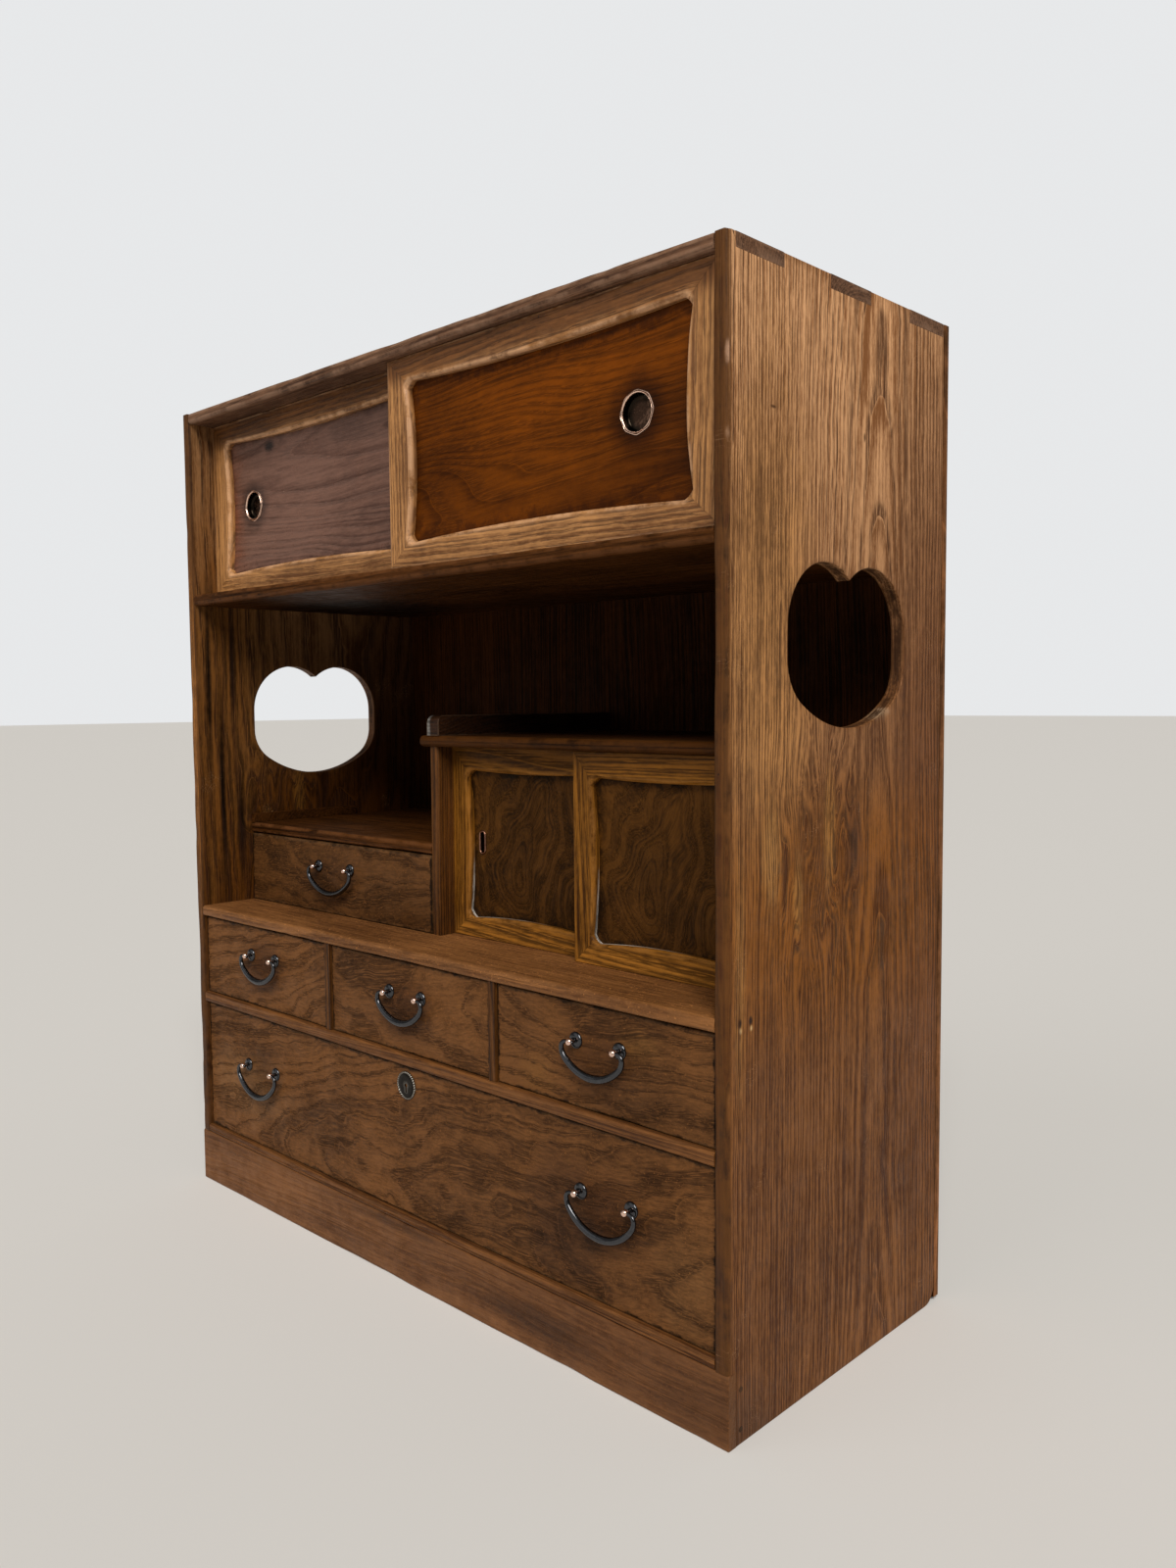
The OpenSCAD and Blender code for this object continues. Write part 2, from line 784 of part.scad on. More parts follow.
module upper_door_panel(pull_x)
    difference() {
        slab([upper_stile - panel_let, upper_door_w - upper_stile + panel_let],
            [upper_sink, upper_sink + upper_panel_t],
            [upper_rail + tongue_h - panel_let, upper_h - upper_rail - tongue_h + panel_let]);
        translate([pull_x, 0, upper_h / 2])
            rod_y([0, upper_door_t], pull_cup_r + snug);
    }

module small_door_panel(pull_x)
    difference() {
        slab([small_stile - panel_let, small_door_w - small_stile + panel_let],
            [small_sink, small_sink + small_panel_t],
            [small_rail_low + tongue_h - panel_let, small_h - small_rail_high - tongue_h + panel_let]);
        translate([pull_x, 0, small_h / 2])
            along_y([0, small_door_t])
                slim_shape(slim_w - 2 * slim_rim_w + 2 * snug, slim_l - 2 * slim_rim_w + 2 * snug);
    }

module round_pull(pull_x)
    translate([pull_x, upper_sink, upper_h / 2])
        difference() {
            union() {
                rod_y([-pull_rim, 0], pull_r);
                rod_y([-pull_rim, pull_depth], pull_cup_r);
            }
            rod_y([-pull_rim - over, pull_depth - pull_wall], pull_cup_r - pull_wall);
        }

module slim_pull(pull_x)
    translate([pull_x, small_sink, small_h / 2])
        difference() {
            union() {
                along_y([-pull_rim, 0])
                    slim_shape(slim_w, slim_l);
                along_y([-pull_rim, slim_depth])
                    slim_shape(slim_w - 2 * slim_rim_w, slim_l - 2 * slim_rim_w);
            }
            along_y([-pull_rim - over, slim_depth - pull_wall])
                slim_shape(slim_w - 2 * slim_rim_w - 2 * pull_wall,
                    slim_l - 2 * slim_rim_w - 2 * pull_wall);
        }

module at_upper_right() set_back()
    translate([in_x - end_play - upper_door_w, upper_track, shelf_z + door_play - tongue_h])
        children();

module at_upper_left() set_back()
    translate([-in_x + end_play, upper_left_track, shelf_z + door_play - tongue_h])
        children();

module at_small_right() set_back()
    translate([in_x - end_play - small_door_w, small_track, counter_z + door_play - tongue_h])
        children();

module at_small_left() set_back()
    translate([part_x1 + end_play, small_left_track, counter_z + door_play - tongue_h])
        children();

upper_pull_far = upper_door_w - upper_stile - right_pull_inset;
upper_pull_near = upper_stile + left_pull_inset;
small_pull_far = small_door_w - small_stile - slim_inset;
small_pull_near = small_stile + slim_inset;

module upper_right_frame() color(frame_wood) at_upper_right()
    upper_door_frame();

module upper_right_panel() color(panel_wood) at_upper_right()
    upper_door_panel(upper_pull_far);

module upper_right_pull() color(iron) at_upper_right()
    round_pull(upper_pull_far);

module upper_left_frame() color(frame_wood) at_upper_left()
    upper_door_frame();

module upper_left_panel() color(panel_wood) at_upper_left()
    upper_door_panel(upper_pull_near);

module upper_left_pull() color(iron) at_upper_left()
    round_pull(upper_pull_near);

module small_right_frame() color(frame_wood) at_small_right()
    small_door_frame();

module small_right_panel() color(dark_wood) at_small_right()
    small_door_panel(small_pull_far);

module small_right_pull() color(copper) at_small_right()
    slim_pull(small_pull_far);

module small_left_frame() color(frame_wood) at_small_left()
    small_door_frame();

module small_left_panel() color(dark_wood) at_small_left()
    small_door_panel(small_pull_near);

module small_left_pull() color(copper) at_small_left()
    slim_pull(small_pull_near);

// The shank holes of a bail's two posts
module post_holes(spacing, z, r) {
    for (s = [-1, 1])
        translate([s * spacing / 2, 0, z])
            rod_y([-over, front_t + over], r);
}

module keyhole(y) {
    along_y(y)
        union() {
            circle(key_r);
            translate([-key_r / 2, -key_l])
                square([key_r, key_l]);
        }
}

// A drawer front, drawn about its middle with its face at y = 0 and its lower edge at z = 0
module drawer_front(w, h)
    difference() {
        slab([-w / 2, w / 2], [0, front_t], [0, h]);
        for (s = [-1, 1])
            mirror([s < 0 ? 1 : 0, 0, 0])
                slab([w / 2 - wall_t, w / 2 + over], [lap_t, front_t + over], [-over, h + over]);
        slab([-w / 2, w / 2], [front_t - bed_let, front_t + over], [bed_rise, bed_rise + bed_t]);
    }

module drawer_box(w, h, d) {
    top = h - wall_drop;
    for (s = [-1, 1])
        mirror([s < 0 ? 1 : 0, 0, 0])
            difference() {
                slab([w / 2 - wall_t, w / 2], [lap_t, d], [0, top]);
                slab([w / 2 - wall_t - over, w / 2 - wall_t + bed_let],
                    [front_t - bed_let - over, d + over], [bed_rise, bed_rise + bed_t]);
            }
    slab([-w / 2 + wall_t + glue, w / 2 - wall_t - glue], [d - wall_t, d],
        [bed_rise + bed_t, top]);
}

module drawer_bed(w, d)
    slab([-w / 2 + wall_t - bed_let, w / 2 - wall_t + bed_let],
        [front_t - bed_let, d], [bed_rise, bed_rise + bed_t]);

// One post, turned about its shank: rosette, stem, ball with the eye, shank and washer
module post() {
    dome_r = (rosette_r * rosette_r + rosette_h * rosette_h) / (2 * rosette_h);
    difference() {
        rotate([90, 90, 0])
            rotate_extrude()
                union() {
                    translate([0, -front_t - washer_t])
                        square([stem_r, front_t + washer_t + bail_out]);
                    translate([0, -front_t - washer_t])
                        square([washer_r, washer_t]);
                    intersection() {
                        square([rosette_r, rosette_h]);
                        translate([0, rosette_h - dome_r])
                            circle(dome_r);
                    }
                    intersection() {
                        translate([0, bail_out - ball_r])
                            square([ball_r, 2 * ball_r]);
                        translate([0, bail_out])
                            circle(ball_r);
                    }
                }
        translate([0, -bail_out, 0])
            rod_x([-ball_r - over, ball_r + over], tip_r + tip_play);
    }
}

module posts(spacing, z)
    for (s = [-1, 1])
        translate([s * spacing / 2, 0, z])
            post();

// Part of a ring in the bail's own plane, x and z, from one angle to another; each end runs a
// little further, into the knuckle that covers it
module bend(centre, big_r, small_r, a0, a1) {
    more = knuckle / big_r * 180 / PI;
    translate([centre[0], 0, centre[1]])
        rotate([90, 0, 0])
            rotate(a0 - more)
                rotate_extrude(angle = a1 - a0 + 2 * more)
                    translate([big_r, 0])
                        circle(small_r);
}

module knuckle_at(x, z, r)
    translate([x, 0, z])
        rotate([90, 0, 0])
            sphere(r + knuckle);

// A bail about its axis: both tips pass through the eyes, curl out and join in a wide bow
module bail(spacing, drop) {
    eye = spacing / 2;
    wide = eye + arm_out;
    low = drop - bar_r;
    side_r = arm_bend * low;
    dx = wide - side_r;
    dz = low - curl_r;
    bow_r = (dx * dx + dz * dz - side_r * side_r) / (2 * (dz - side_r));
    turn = atan2(dx, bow_r - dz);
    bend([0, bow_r - low], bow_r, bar_r, 270 - turn, 270 + turn);
    for (s = [-1, 1])
        mirror([s < 0 ? 1 : 0, 0, 0]) {
            knuckle_at(bow_r * sin(turn), bow_r - low - bow_r * cos(turn), bar_r);
            bend([dx, -curl_r], side_r, arm_r, turn - 90, 0);
            knuckle_at(wide, -curl_r, arm_r);
            bend([wide - curl_r, -curl_r], curl_r, tip_r, 0, 90);
            knuckle_at(wide - curl_r, 0, tip_r);
            rod_x([eye - ball_r - tip_past, wide - curl_r + knuckle], tip_r);
        }
}

row_drawer_w = row_w - 2 * drawer_play;
row_drawer_h = row_opening_h - drawer_head - drawer_foot;
row_drawer_d = drawer_y1 - drawer_set;
row_step = row_w + divider_t;

module at_row(i) set_back()
    translate([i * row_step, drawer_set, row_z + drawer_foot])
        children();

module row_front()
    difference() {
        drawer_front(row_drawer_w, row_drawer_h);
        post_holes(row_bail_w, row_bail_z, stem_r + snug);
    }

module row_bail(i) at_row(i)
    translate([0, -bail_out, row_bail_z])
        bail(row_bail_w, row_bail_drop);

module left_drawer_front() color(front_wood) at_row(-1)
    row_front();

module left_drawer_box() color(inner_wood) at_row(-1)
    drawer_box(row_drawer_w, row_drawer_h, row_drawer_d);

module left_drawer_bed() color(inner_wood) at_row(-1)
    drawer_bed(row_drawer_w, row_drawer_d);

module left_drawer_posts() color(iron) at_row(-1)
    posts(row_bail_w, row_bail_z);

module left_bail() color(iron)
    row_bail(-1);

module middle_drawer_front() color(front_wood) at_row(0)
    row_front();

module middle_drawer_box() color(inner_wood) at_row(0)
    drawer_box(row_drawer_w, row_drawer_h, row_drawer_d);

module middle_drawer_bed() color(inner_wood) at_row(0)
    drawer_bed(row_drawer_w, row_drawer_d);

module middle_drawer_posts() color(iron) at_row(0)
    posts(row_bail_w, row_bail_z);

module middle_bail() color(iron)
    row_bail(0);

module right_drawer_front() color(front_wood) at_row(1)
    row_front();

module right_drawer_box() color(inner_wood) at_row(1)
    drawer_box(row_drawer_w, row_drawer_h, row_drawer_d);

module right_drawer_bed() color(inner_wood) at_row(1)
    drawer_bed(row_drawer_w, row_drawer_d);

module right_drawer_posts() color(iron) at_row(1)
    posts(row_bail_w, row_bail_z);

module right_bail() color(iron)
    row_bail(1);

small_drawer_w = in_x + part_x0 - 2 * drawer_play;
small_drawer_h = small_opening_h - drawer_head - drawer_foot;
small_drawer_d = drawer_y1 - inner_front;

module at_small() set_back()
    translate([(part_x0 - in_x) / 2, inner_front, counter_z + drawer_foot])
        children();

module small_drawer_front() color(front_wood) at_small()
    difference() {
        drawer_front(small_drawer_w, small_drawer_h);
        post_holes(small_bail_w, small_bail_z, stem_r + snug);
    }

module small_drawer_box() color(inner_wood) at_small()
    drawer_box(small_drawer_w, small_drawer_h, small_drawer_d);

module small_drawer_bed() color(inner_wood) at_small()
    drawer_bed(small_drawer_w, small_drawer_d);

module small_drawer_posts() color(iron) at_small()
    posts(small_bail_w, small_bail_z);

module small_bail() color(iron) at_small()
    translate([0, -bail_out, small_bail_z])
        bail(small_bail_w, small_bail_drop);

wide_w = in_w - 2 * drawer_play;
wide_h = wide_opening_h - drawer_head - drawer_foot;
wide_d = drawer_y1 - drawer_set;
lock_low = wide_h - lock_h;
key_z = wide_h - keyhole_drop;

module at_wide() set_back()
    translate([0, drawer_set, floor_z + drawer_foot])
        children();

module wide_drawer_front() color(front_wood) at_wide()
    difference() {
        drawer_front(wide_w, wide_h);
        for (s = [-1, 1])
            translate([s * wide_bail_x, 0, 0])
                post_holes(wide_bail_w, wide_bail_z, stem_r + snug);
        translate([0, 0, key_z])
            keyhole([-over, front_t]);
        slab([-lock_w / 2, lock_w / 2], [front_t - lock_t, front_t + over], [lock_low, wide_h + over]);
    }

module wide_drawer_box() color(inner_wood) at_wide()
    drawer_box(wide_w, wide_h, wide_d);

module wide_drawer_bed() color(inner_wood) at_wide()
    drawer_bed(wide_w, wide_d);

module wide_drawer_posts() color(iron) at_wide()
    for (s = [-1, 1])
        translate([s * wide_bail_x, 0, 0])
            posts(wide_bail_w, wide_bail_z);

module wide_bail(s) at_wide()
    translate([s * wide_bail_x, -bail_out, wide_bail_z])
        bail(wide_bail_w, wide_bail_drop);

module wide_left_bail() color(iron)
    wide_bail(-1);

module wide_right_bail() color(iron)
    wide_bail(1);

module key_plate() color(iron) at_wide()
    translate([0, 0, key_z])
        difference() {
            union() {
                rod_y([-plate_t, 0], plate_r - bead_r);
                rotate([90, 0, 0])
                    translate([0, 0, bead_r])
                        rotate_extrude()
                            translate([plate_r - bead_r, 0])
                                circle(bead_r);
            }
            keyhole([-plate_t - 2, 1]);
        }

module lock_bolt() color(copper) at_wide()
    slab([-bolt_w / 2, bolt_w / 2],
        [bolt_in - bolt_t / 2, bolt_in + bolt_t / 2],
        [wide_h - bolt_l, wide_h]);

module lock_case() color(iron) at_wide()
    difference() {
        slab([-lock_w / 2, lock_w / 2], [front_t - lock_t, front_t], [lock_low, wide_h]);
        slab([-bolt_w / 2 - bolt_play, bolt_w / 2 + bolt_play],
            [bolt_in - bolt_t / 2 - bolt_play,
                bolt_in + bolt_t / 2 + bolt_play],
            [wide_h - bolt_l - bolt_play, wide_h + over]);
    }

left_side();
right_side();
top_board();
back_panel();
back_nails();
plinth();
plinth_blocks();
bottom_board();
bottom_rail();
drawer_rail();
drawer_runners();
drawer_dividers();
counter_board();
upper_shelf();
step_shelf();
wall_batten();
partition();
cupboard_top();
gallery_rail();
upper_right_frame();
upper_right_panel();
upper_right_pull();
upper_left_frame();
upper_left_panel();
upper_left_pull();
small_right_frame();
small_right_panel();
small_right_pull();
small_left_frame();
small_left_panel();
small_left_pull();
left_drawer_front();
left_drawer_box();
left_drawer_bed();
left_drawer_posts();
left_bail();
middle_drawer_front();
middle_drawer_box();
middle_drawer_bed();
middle_drawer_posts();
middle_bail();
right_drawer_front();
right_drawer_box();
right_drawer_bed();
right_drawer_posts();
right_bail();
small_drawer_front();
small_drawer_box();
small_drawer_bed();
small_drawer_posts();
small_bail();
wide_drawer_front();
wide_drawer_box();
wide_drawer_bed();
wide_drawer_posts();
wide_left_bail();
wide_right_bail();
key_plate();
lock_case();
lock_bolt();
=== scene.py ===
# %% [markdown]
# # A Japanese tea cabinet
# The cabinet is a case of thin boards with two pairs of sliding doors, five drawers, drop handles and a lobed
# cut-out in each side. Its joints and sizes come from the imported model, which is loaded here and stays fixed.
# Everything below only dresses it: new surfaces worn like the old boards, and finishes for the solids that stay.

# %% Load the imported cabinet
import json
import math
import bpy
import numpy as np
from mathutils import Matrix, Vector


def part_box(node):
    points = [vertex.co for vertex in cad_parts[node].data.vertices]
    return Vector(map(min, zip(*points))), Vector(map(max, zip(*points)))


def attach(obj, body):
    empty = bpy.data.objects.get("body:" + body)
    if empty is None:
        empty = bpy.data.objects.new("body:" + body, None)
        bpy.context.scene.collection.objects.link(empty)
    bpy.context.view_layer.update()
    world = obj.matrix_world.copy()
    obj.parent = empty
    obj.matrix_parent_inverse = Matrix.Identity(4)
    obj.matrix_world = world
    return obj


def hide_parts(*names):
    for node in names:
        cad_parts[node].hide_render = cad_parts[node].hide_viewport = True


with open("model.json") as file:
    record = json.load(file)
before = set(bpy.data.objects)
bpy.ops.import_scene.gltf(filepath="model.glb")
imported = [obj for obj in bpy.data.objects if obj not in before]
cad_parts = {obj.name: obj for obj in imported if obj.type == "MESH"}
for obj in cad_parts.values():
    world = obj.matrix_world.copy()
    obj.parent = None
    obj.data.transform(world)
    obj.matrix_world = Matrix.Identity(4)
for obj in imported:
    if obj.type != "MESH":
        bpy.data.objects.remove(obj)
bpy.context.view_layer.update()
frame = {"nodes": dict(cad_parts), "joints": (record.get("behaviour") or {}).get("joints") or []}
nodes = frame["nodes"]
MM = 0.001
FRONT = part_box("plinth")[0][1]

# %% [markdown]
# ## Camera
# The photograph was taken from the right front corner at two thirds of the height, with a wide lens held
# almost level. The camera's place, heading, downward tilt and slight roll were solved from the case's edges.

# %% Camera
EYE = (1.02912, -0.96010, 0.63016)
HEADING, TILT, ROLL = (math.radians(angle) for angle in (-43.882, 3.913, -0.4905))
UPWARD = [0, 0, 1]


def placed(name, data, axes=None, spot=(0, 0, 0)):
    """A new object of this data in the scene; axes are the directions of its own x, y and z."""
    thing = bpy.data.objects.new(name, data)
    bpy.context.scene.collection.objects.link(thing)
    if axes is not None:
        matrix = np.eye(4)
        matrix[:3, :3], matrix[:3, 3] = np.transpose(axes), spot
        thing.matrix_world = Matrix(matrix.tolist())
    return thing


def camera_axes(heading, tilt, roll):
    """Forward is heading and tilt as a unit vector; right is forward x up; both sideways axes turn by the roll."""
    forward = np.array([math.sin(heading) * math.cos(tilt), math.cos(heading) * math.cos(tilt), -math.sin(tilt)])
    right = np.cross(forward, UPWARD)
    right /= np.linalg.norm(right)
    up = np.cross(right, forward)
    return (math.cos(roll) * right + math.sin(roll) * up, math.cos(roll) * up - math.sin(roll) * right, -forward)


lens = bpy.data.cameras.new("photo_lens")
lens.sensor_fit, lens.sensor_height, lens.lens, lens.clip_start = "VERTICAL", 36.0, 27.74, 0.01
bpy.context.scene.camera = placed("photo_camera", lens, camera_axes(HEADING, TILT, ROLL), EYE)
print("camera at", EYE, "lens", lens.lens, "mm")

# %% [markdown]
# ## Studio
# A pale floor and pale backdrop keep the warm browns readable. One broad even lamp high on the right lights
# the side board and the front at a slant, so the niche under the upper shelf stays dark as in the room, and
# a weak broad one fills from the left. The backdrop's brightness is only what the camera sees, not more light.

# %% Studio
FLOOR_TONE = (0.80, 0.79, 0.77, 1)
FLOOR_ROUGHNESS, FLOOR_HALF = 0.9, 40.0
BACKDROP_TONE = (0.80, 0.81, 0.82, 1)
FILL_TONE, FILL_LEVEL = (0.52, 0.49, 0.46, 1), 0.32


def plain_world():
    """Weak even light for the object; the camera alone sees the pale backdrop at its own tone instead."""
    world = bpy.data.worlds.new("studio")
    world.use_nodes = True
    tree = world.node_tree
    tree.nodes.clear()
    path, mix, out = (tree.nodes.new("ShaderNode" + kind) for kind in ("LightPath", "MixShader", "OutputWorld"))
    tree.links.new(path.outputs["Is Camera Ray"], mix.inputs[0])
    for place, tone, level in ((1, FILL_TONE, FILL_LEVEL), (2, BACKDROP_TONE, 1.0)):
        light = tree.nodes.new("ShaderNodeBackground")
        light.inputs["Color"].default_value, light.inputs["Strength"].default_value = tone, level
        tree.links.new(light.outputs[0], mix.inputs[place])
    tree.links.new(mix.outputs[0], out.inputs[0])
    bpy.context.scene.world = world


def soft_sun(name, towards, strength, spread, tone):
    """An even lamp far away in the direction towards, seen from the cabinet as a disc of the given spread."""
    data = bpy.data.lights.new(name, "SUN")
    data.energy, data.angle, data.color = strength, math.radians(spread), tone
    back = np.array(towards, float) / np.linalg.norm(towards)
    side = np.cross(UPWARD, back)
    side /= np.linalg.norm(side)
    placed(name, data, (side, np.cross(back, side), back))


def blank_material(name):
    """A new material with its node tree and its shader."""
    material = bpy.data.materials.new(name)
    material.use_nodes = True
    return material, material.node_tree, material.node_tree.nodes["Principled BSDF"]


plain_world()
soft_sun("high_right", (0.66, -0.66, 0.92), 2.7, 30, (1.0, 0.97, 0.92))
soft_sun("low_left", (-0.35, -0.9, 0.45), 0.3, 50, (0.97, 0.98, 1.0))
bpy.context.scene.view_settings.view_transform = "Standard"

floor_mesh = bpy.data.meshes.new("floor")
corners = [(x * FLOOR_HALF, y * FLOOR_HALF, 0) for x, y in ((-1, -1), (1, -1), (1, 1), (-1, 1))]
floor_mesh.from_pydata(corners, [], [(0, 1, 2, 3)])
floor = placed("floor", floor_mesh)
floor_paint, _, shader = blank_material("floor_paint")
shader.inputs["Base Color"].default_value = FLOOR_TONE
shader.inputs["Roughness"].default_value = FLOOR_ROUGHNESS
floor_mesh.materials.append(floor_paint)
print("lamps: high_right and low_left; floor half width", FLOOR_HALF, "m")

# %% [markdown]
# ## Short names for shader nodes
# A finish is a small program of nodes. This helper adds a node, joins its inputs and hands back its output,
# so that a finish can be read from top to bottom like a sum.

# %% Node helper


def srgb(red, green, blue):
    """A colour picked on screen (0 to 255) as the light values that the shaders use."""
    c = np.array([red, green, blue]) / 255.0
    return tuple(np.where(c <= 0.04045, c / 12.92, ((c + 0.055) / 1.055) ** 2.4)) + (1.0,)


class Recipe:
    """Adds nodes to one tree. fill and new return the node, every other method what the node puts out."""

    def __init__(self, tree):
        self.tree = tree

    def fill(self, made, values):
        for key, value in values.items():
            if isinstance(value, bpy.types.NodeSocket):
                self.tree.links.new(value, made.inputs[key])
            else:
                made.inputs[key].default_value = value
        return made

    def new(self, kind, values, **settings):
        made = self.tree.nodes.new("ShaderNode" + kind)
        for key, value in settings.items():
            setattr(made, key, value)
        return self.fill(made, values)

    def group(self, group, **values):
        made = self.tree.nodes.new("ShaderNodeGroup")
        made.node_tree = group
        return self.fill(made, values).outputs

    def attribute(self, name, kind="Fac"):
        return self.new("Attribute", {}, attribute_name=name).outputs[kind]

    def sum(self, how, a, b=0.0, c=0.0, clamp=False):
        return self.new("Math", {0: a, 1: b, 2: c}, operation=how, use_clamp=clamp).outputs[0]

    def times(self, a, b):
        return self.sum("MULTIPLY", a, b)

    def rest(self, a):
        """One minus the value."""
        return self.sum("SUBTRACT", 1.0, a)

    def blend(self, start, *parts):
        """Start plus each mask times its share."""
        for mask, share in parts:
            start = self.sum("MULTIPLY_ADD", mask, share, start)
        return start

    def arrow(self, how, a, b=(0.0, 0.0, 0.0)):
        made = self.new("VectorMath", {0: a, 1: b}, operation=how)
        return made.outputs["Value" if how == "LENGTH" else "Vector"]

    def scaled(self, a, factor):
        return self.new("VectorMath", {0: a, "Scale": factor}, operation="SCALE").outputs[0]

    def centred(self, a):
        """A noise colour from 0 to 1 as an arrow round nought."""
        return self.arrow("SUBTRACT", a, (0.5, 0.5, 0.5))

    def away(self, place, centre, stretch):
        """Distance from the centre, with each axis counted as much as stretch says."""
        return self.arrow("LENGTH", self.arrow("MULTIPLY", self.arrow("SUBTRACT", place, centre), stretch))

    def split(self, a):
        return self.new("SeparateXYZ", {0: a}).outputs

    def joined(self, x, y, z):
        return self.new("CombineXYZ", {0: x, 1: y, 2: z}).outputs[0]

    def noise(self, place, scale, detail, rough, colour=False):
        """Noise at one scale, or at three scales for the three axes."""
        if isinstance(scale, tuple):
            place, scale = self.arrow("MULTIPLY", place, scale), 1.0
        made = self.new("TexNoise", {"Vector": place, "Scale": scale, "Detail": detail, "Roughness": rough})
        return made.outputs["Color" if colour else "Fac"]

    def span(self, value, low, high, start=0.0, end=1.0):
        """Start below low, end above high and a smooth step between them."""
        values = {0: value, 1: low, 2: high, 3: start, 4: end}
        return self.new("MapRange", values, interpolation_type="SMOOTHSTEP").outputs[0]

    def mix(self, share, a, b, how="MIX"):
        return self.new("Mix", {0: share, 6: a, 7: b}, data_type="RGBA", blend_type=how).outputs[2]


def node_group(name, vectors, floats, outputs, rule):
    """A group with these inputs and outputs; rule(recipe, inputs) makes the outputs in their order."""
    group = bpy.data.node_groups.new(name, "ShaderNodeTree")
    for labels, kind in ((vectors, "Vector"), (floats, "Float")):
        for label in labels:
            group.interface.new_socket(label, in_out="INPUT", socket_type="NodeSocket" + kind)
    for label in outputs:
        group.interface.new_socket(label, in_out="OUTPUT", socket_type="NodeSocketFloat")
    start, end = group.nodes.new("NodeGroupInput"), group.nodes.new("NodeGroupOutput")
    for label, value in zip(outputs, rule(Recipe(group), start.outputs)):
        group.links.new(value, end.inputs[label])
    print("group", name, "with", len(group.nodes), "nodes")
    return group


print("middle grey on screen is", round(float(srgb(128, 128, 128)[0]), 3), "as light")

# %% [markdown]
# ## Growth rings
# A board shows the tree's rings cut open. Painting stripes would repeat and would not turn the corner onto the
# end of the board, so the rings are made in space: each point's distance from the tree's middle, bent by slow
# noise, counted in ring widths. The late wood at the end of each ring is dark, and the open pores of the early
# wood lie at its start as short dark dashes.

# %% Growth rings group
BEND_SCALE, SLOW_SCALE = (7.0, 7.0, 2.2), (16.0, 16.0, 3.0)
DASH_SCALE, FIBRE_SCALE, FLECK_SCALE = (900.0, 900.0, 18.0), (300.0, 300.0, 6.0), (430.0, 430.0, 95.0)
SWIRL_SCALE, UNEVEN_SCALE, UNEVEN_RINGS = 14.0, 90.0, 3.0


def growth(r, ins):
    """Ring number = (distance from the grain axis + wander) / spacing; late wood = its fraction near one, and
    the rows of pores lie where it is near nought, broken into dashes along the grain."""
    place = ins["Place"]
    bends = ((r.noise(place, BEND_SCALE, 2.0, 0.5, colour=True), ins["Wander"]),
             (r.noise(place, SWIRL_SCALE, 2.0, 0.55, colour=True), ins["Swirl"]))
    bent = place
    for bend, amount in bends:
        bent = r.arrow("ADD", bent, r.scaled(r.centred(bend), amount))
    reach = r.arrow("LENGTH", r.arrow("MULTIPLY", bent, (1.0, 1.0, 0.0)))
    uneven = r.times(r.noise(r.joined(reach, 0.0, 0.0), UNEVEN_SCALE, 2.0, 0.6), UNEVEN_RINGS)
    year = r.sum("FRACT", r.sum("ADD", r.sum("DIVIDE", reach, ins["Spacing"]), uneven))
    late = r.times(r.span(year, ins["Early"], 0.92), r.rest(r.span(year, 0.93, 1.0)))
    dashes = r.noise(bent, DASH_SCALE, 2.0, 0.6)
    early = r.rest(r.span(year, 0.16, 0.40))
    pores = r.times(r.span(dashes, 0.36, 0.56), r.sum("MULTIPLY_ADD", early, 0.8, 0.1))
    fibre, fleck = (r.noise(bent, scale, 4.0, 0.7) for scale in (FIBRE_SCALE, FLECK_SCALE))
    slow = r.noise(place, SLOW_SCALE, 3.0, 0.6)
    return late, pores, fibre, fleck, slow


GROWTH = node_group("growth_rings", ["Place"], ["Spacing", "Wander", "Swirl", "Early"],
                    ["Late", "Pores", "Fibre", "Fleck", "Slow"], growth)

# %% [markdown]
# ## Worn and shaded edges
# Hands and years rub the corners of a board pale and knock them about. The same mask also lays painted shade
# along the sunk edges of panels and in the gaps round drawer fronts. On a board that is a box, a point on its
# surface lies on one face, so the smallest of its distances to the box's faces is nothing, and the next one
# says how near the edge it is. That middle distance, roughened by noise, is the mask.

# %% Edge group for wear and painted shade


def worn_edges(r, ins):
    """Mask = 1 where the middle one of the distances to the box's x, y and z faces is under Reach, ragged."""
    place, reach = ins["Place"], ins["Reach"]
    low, high = (r.arrow("ABSOLUTE", r.arrow("SUBTRACT", place, ins[end])) for end in ("Low", "High"))
    x, y, z = r.split(r.arrow("MINIMUM", low, high))
    middle = r.sum("MAXIMUM", r.sum("MINIMUM", x, y), r.sum("MINIMUM", r.sum("MAXIMUM", x, y), z))
    rough = r.sum("SUBTRACT", r.noise(place, 70.0, 4.0, 0.7), 0.5)
    ragged_edge = r.sum("MULTIPLY_ADD", rough, r.times(reach, 3.0), middle)
    return (r.rest(r.span(ragged_edge, r.times(reach, 0.3), reach)),)


EDGES = node_group("worn_edges", ["Place", "Low", "High"], ["Reach"], ["Wear"], worn_edges)

# %% [markdown]
# ## Age
# Old wax and dirt gather in clouds, dents and scratches cross the boards, and beetles leave pin holes. One
# group gives all of these as masks, and each wood decides how strongly it shows them.

# %% Age group
CLOUD_SCALE, MOTTLE_SCALE, PATCH_SCALE, HOLE_SCALE = 5.5, 38.0, 21.0, 42.0
SCRATCH_TURN, SCRATCH_SCALE = (0.5, 0.9, 0.6), (9.0, 240.0, 240.0)


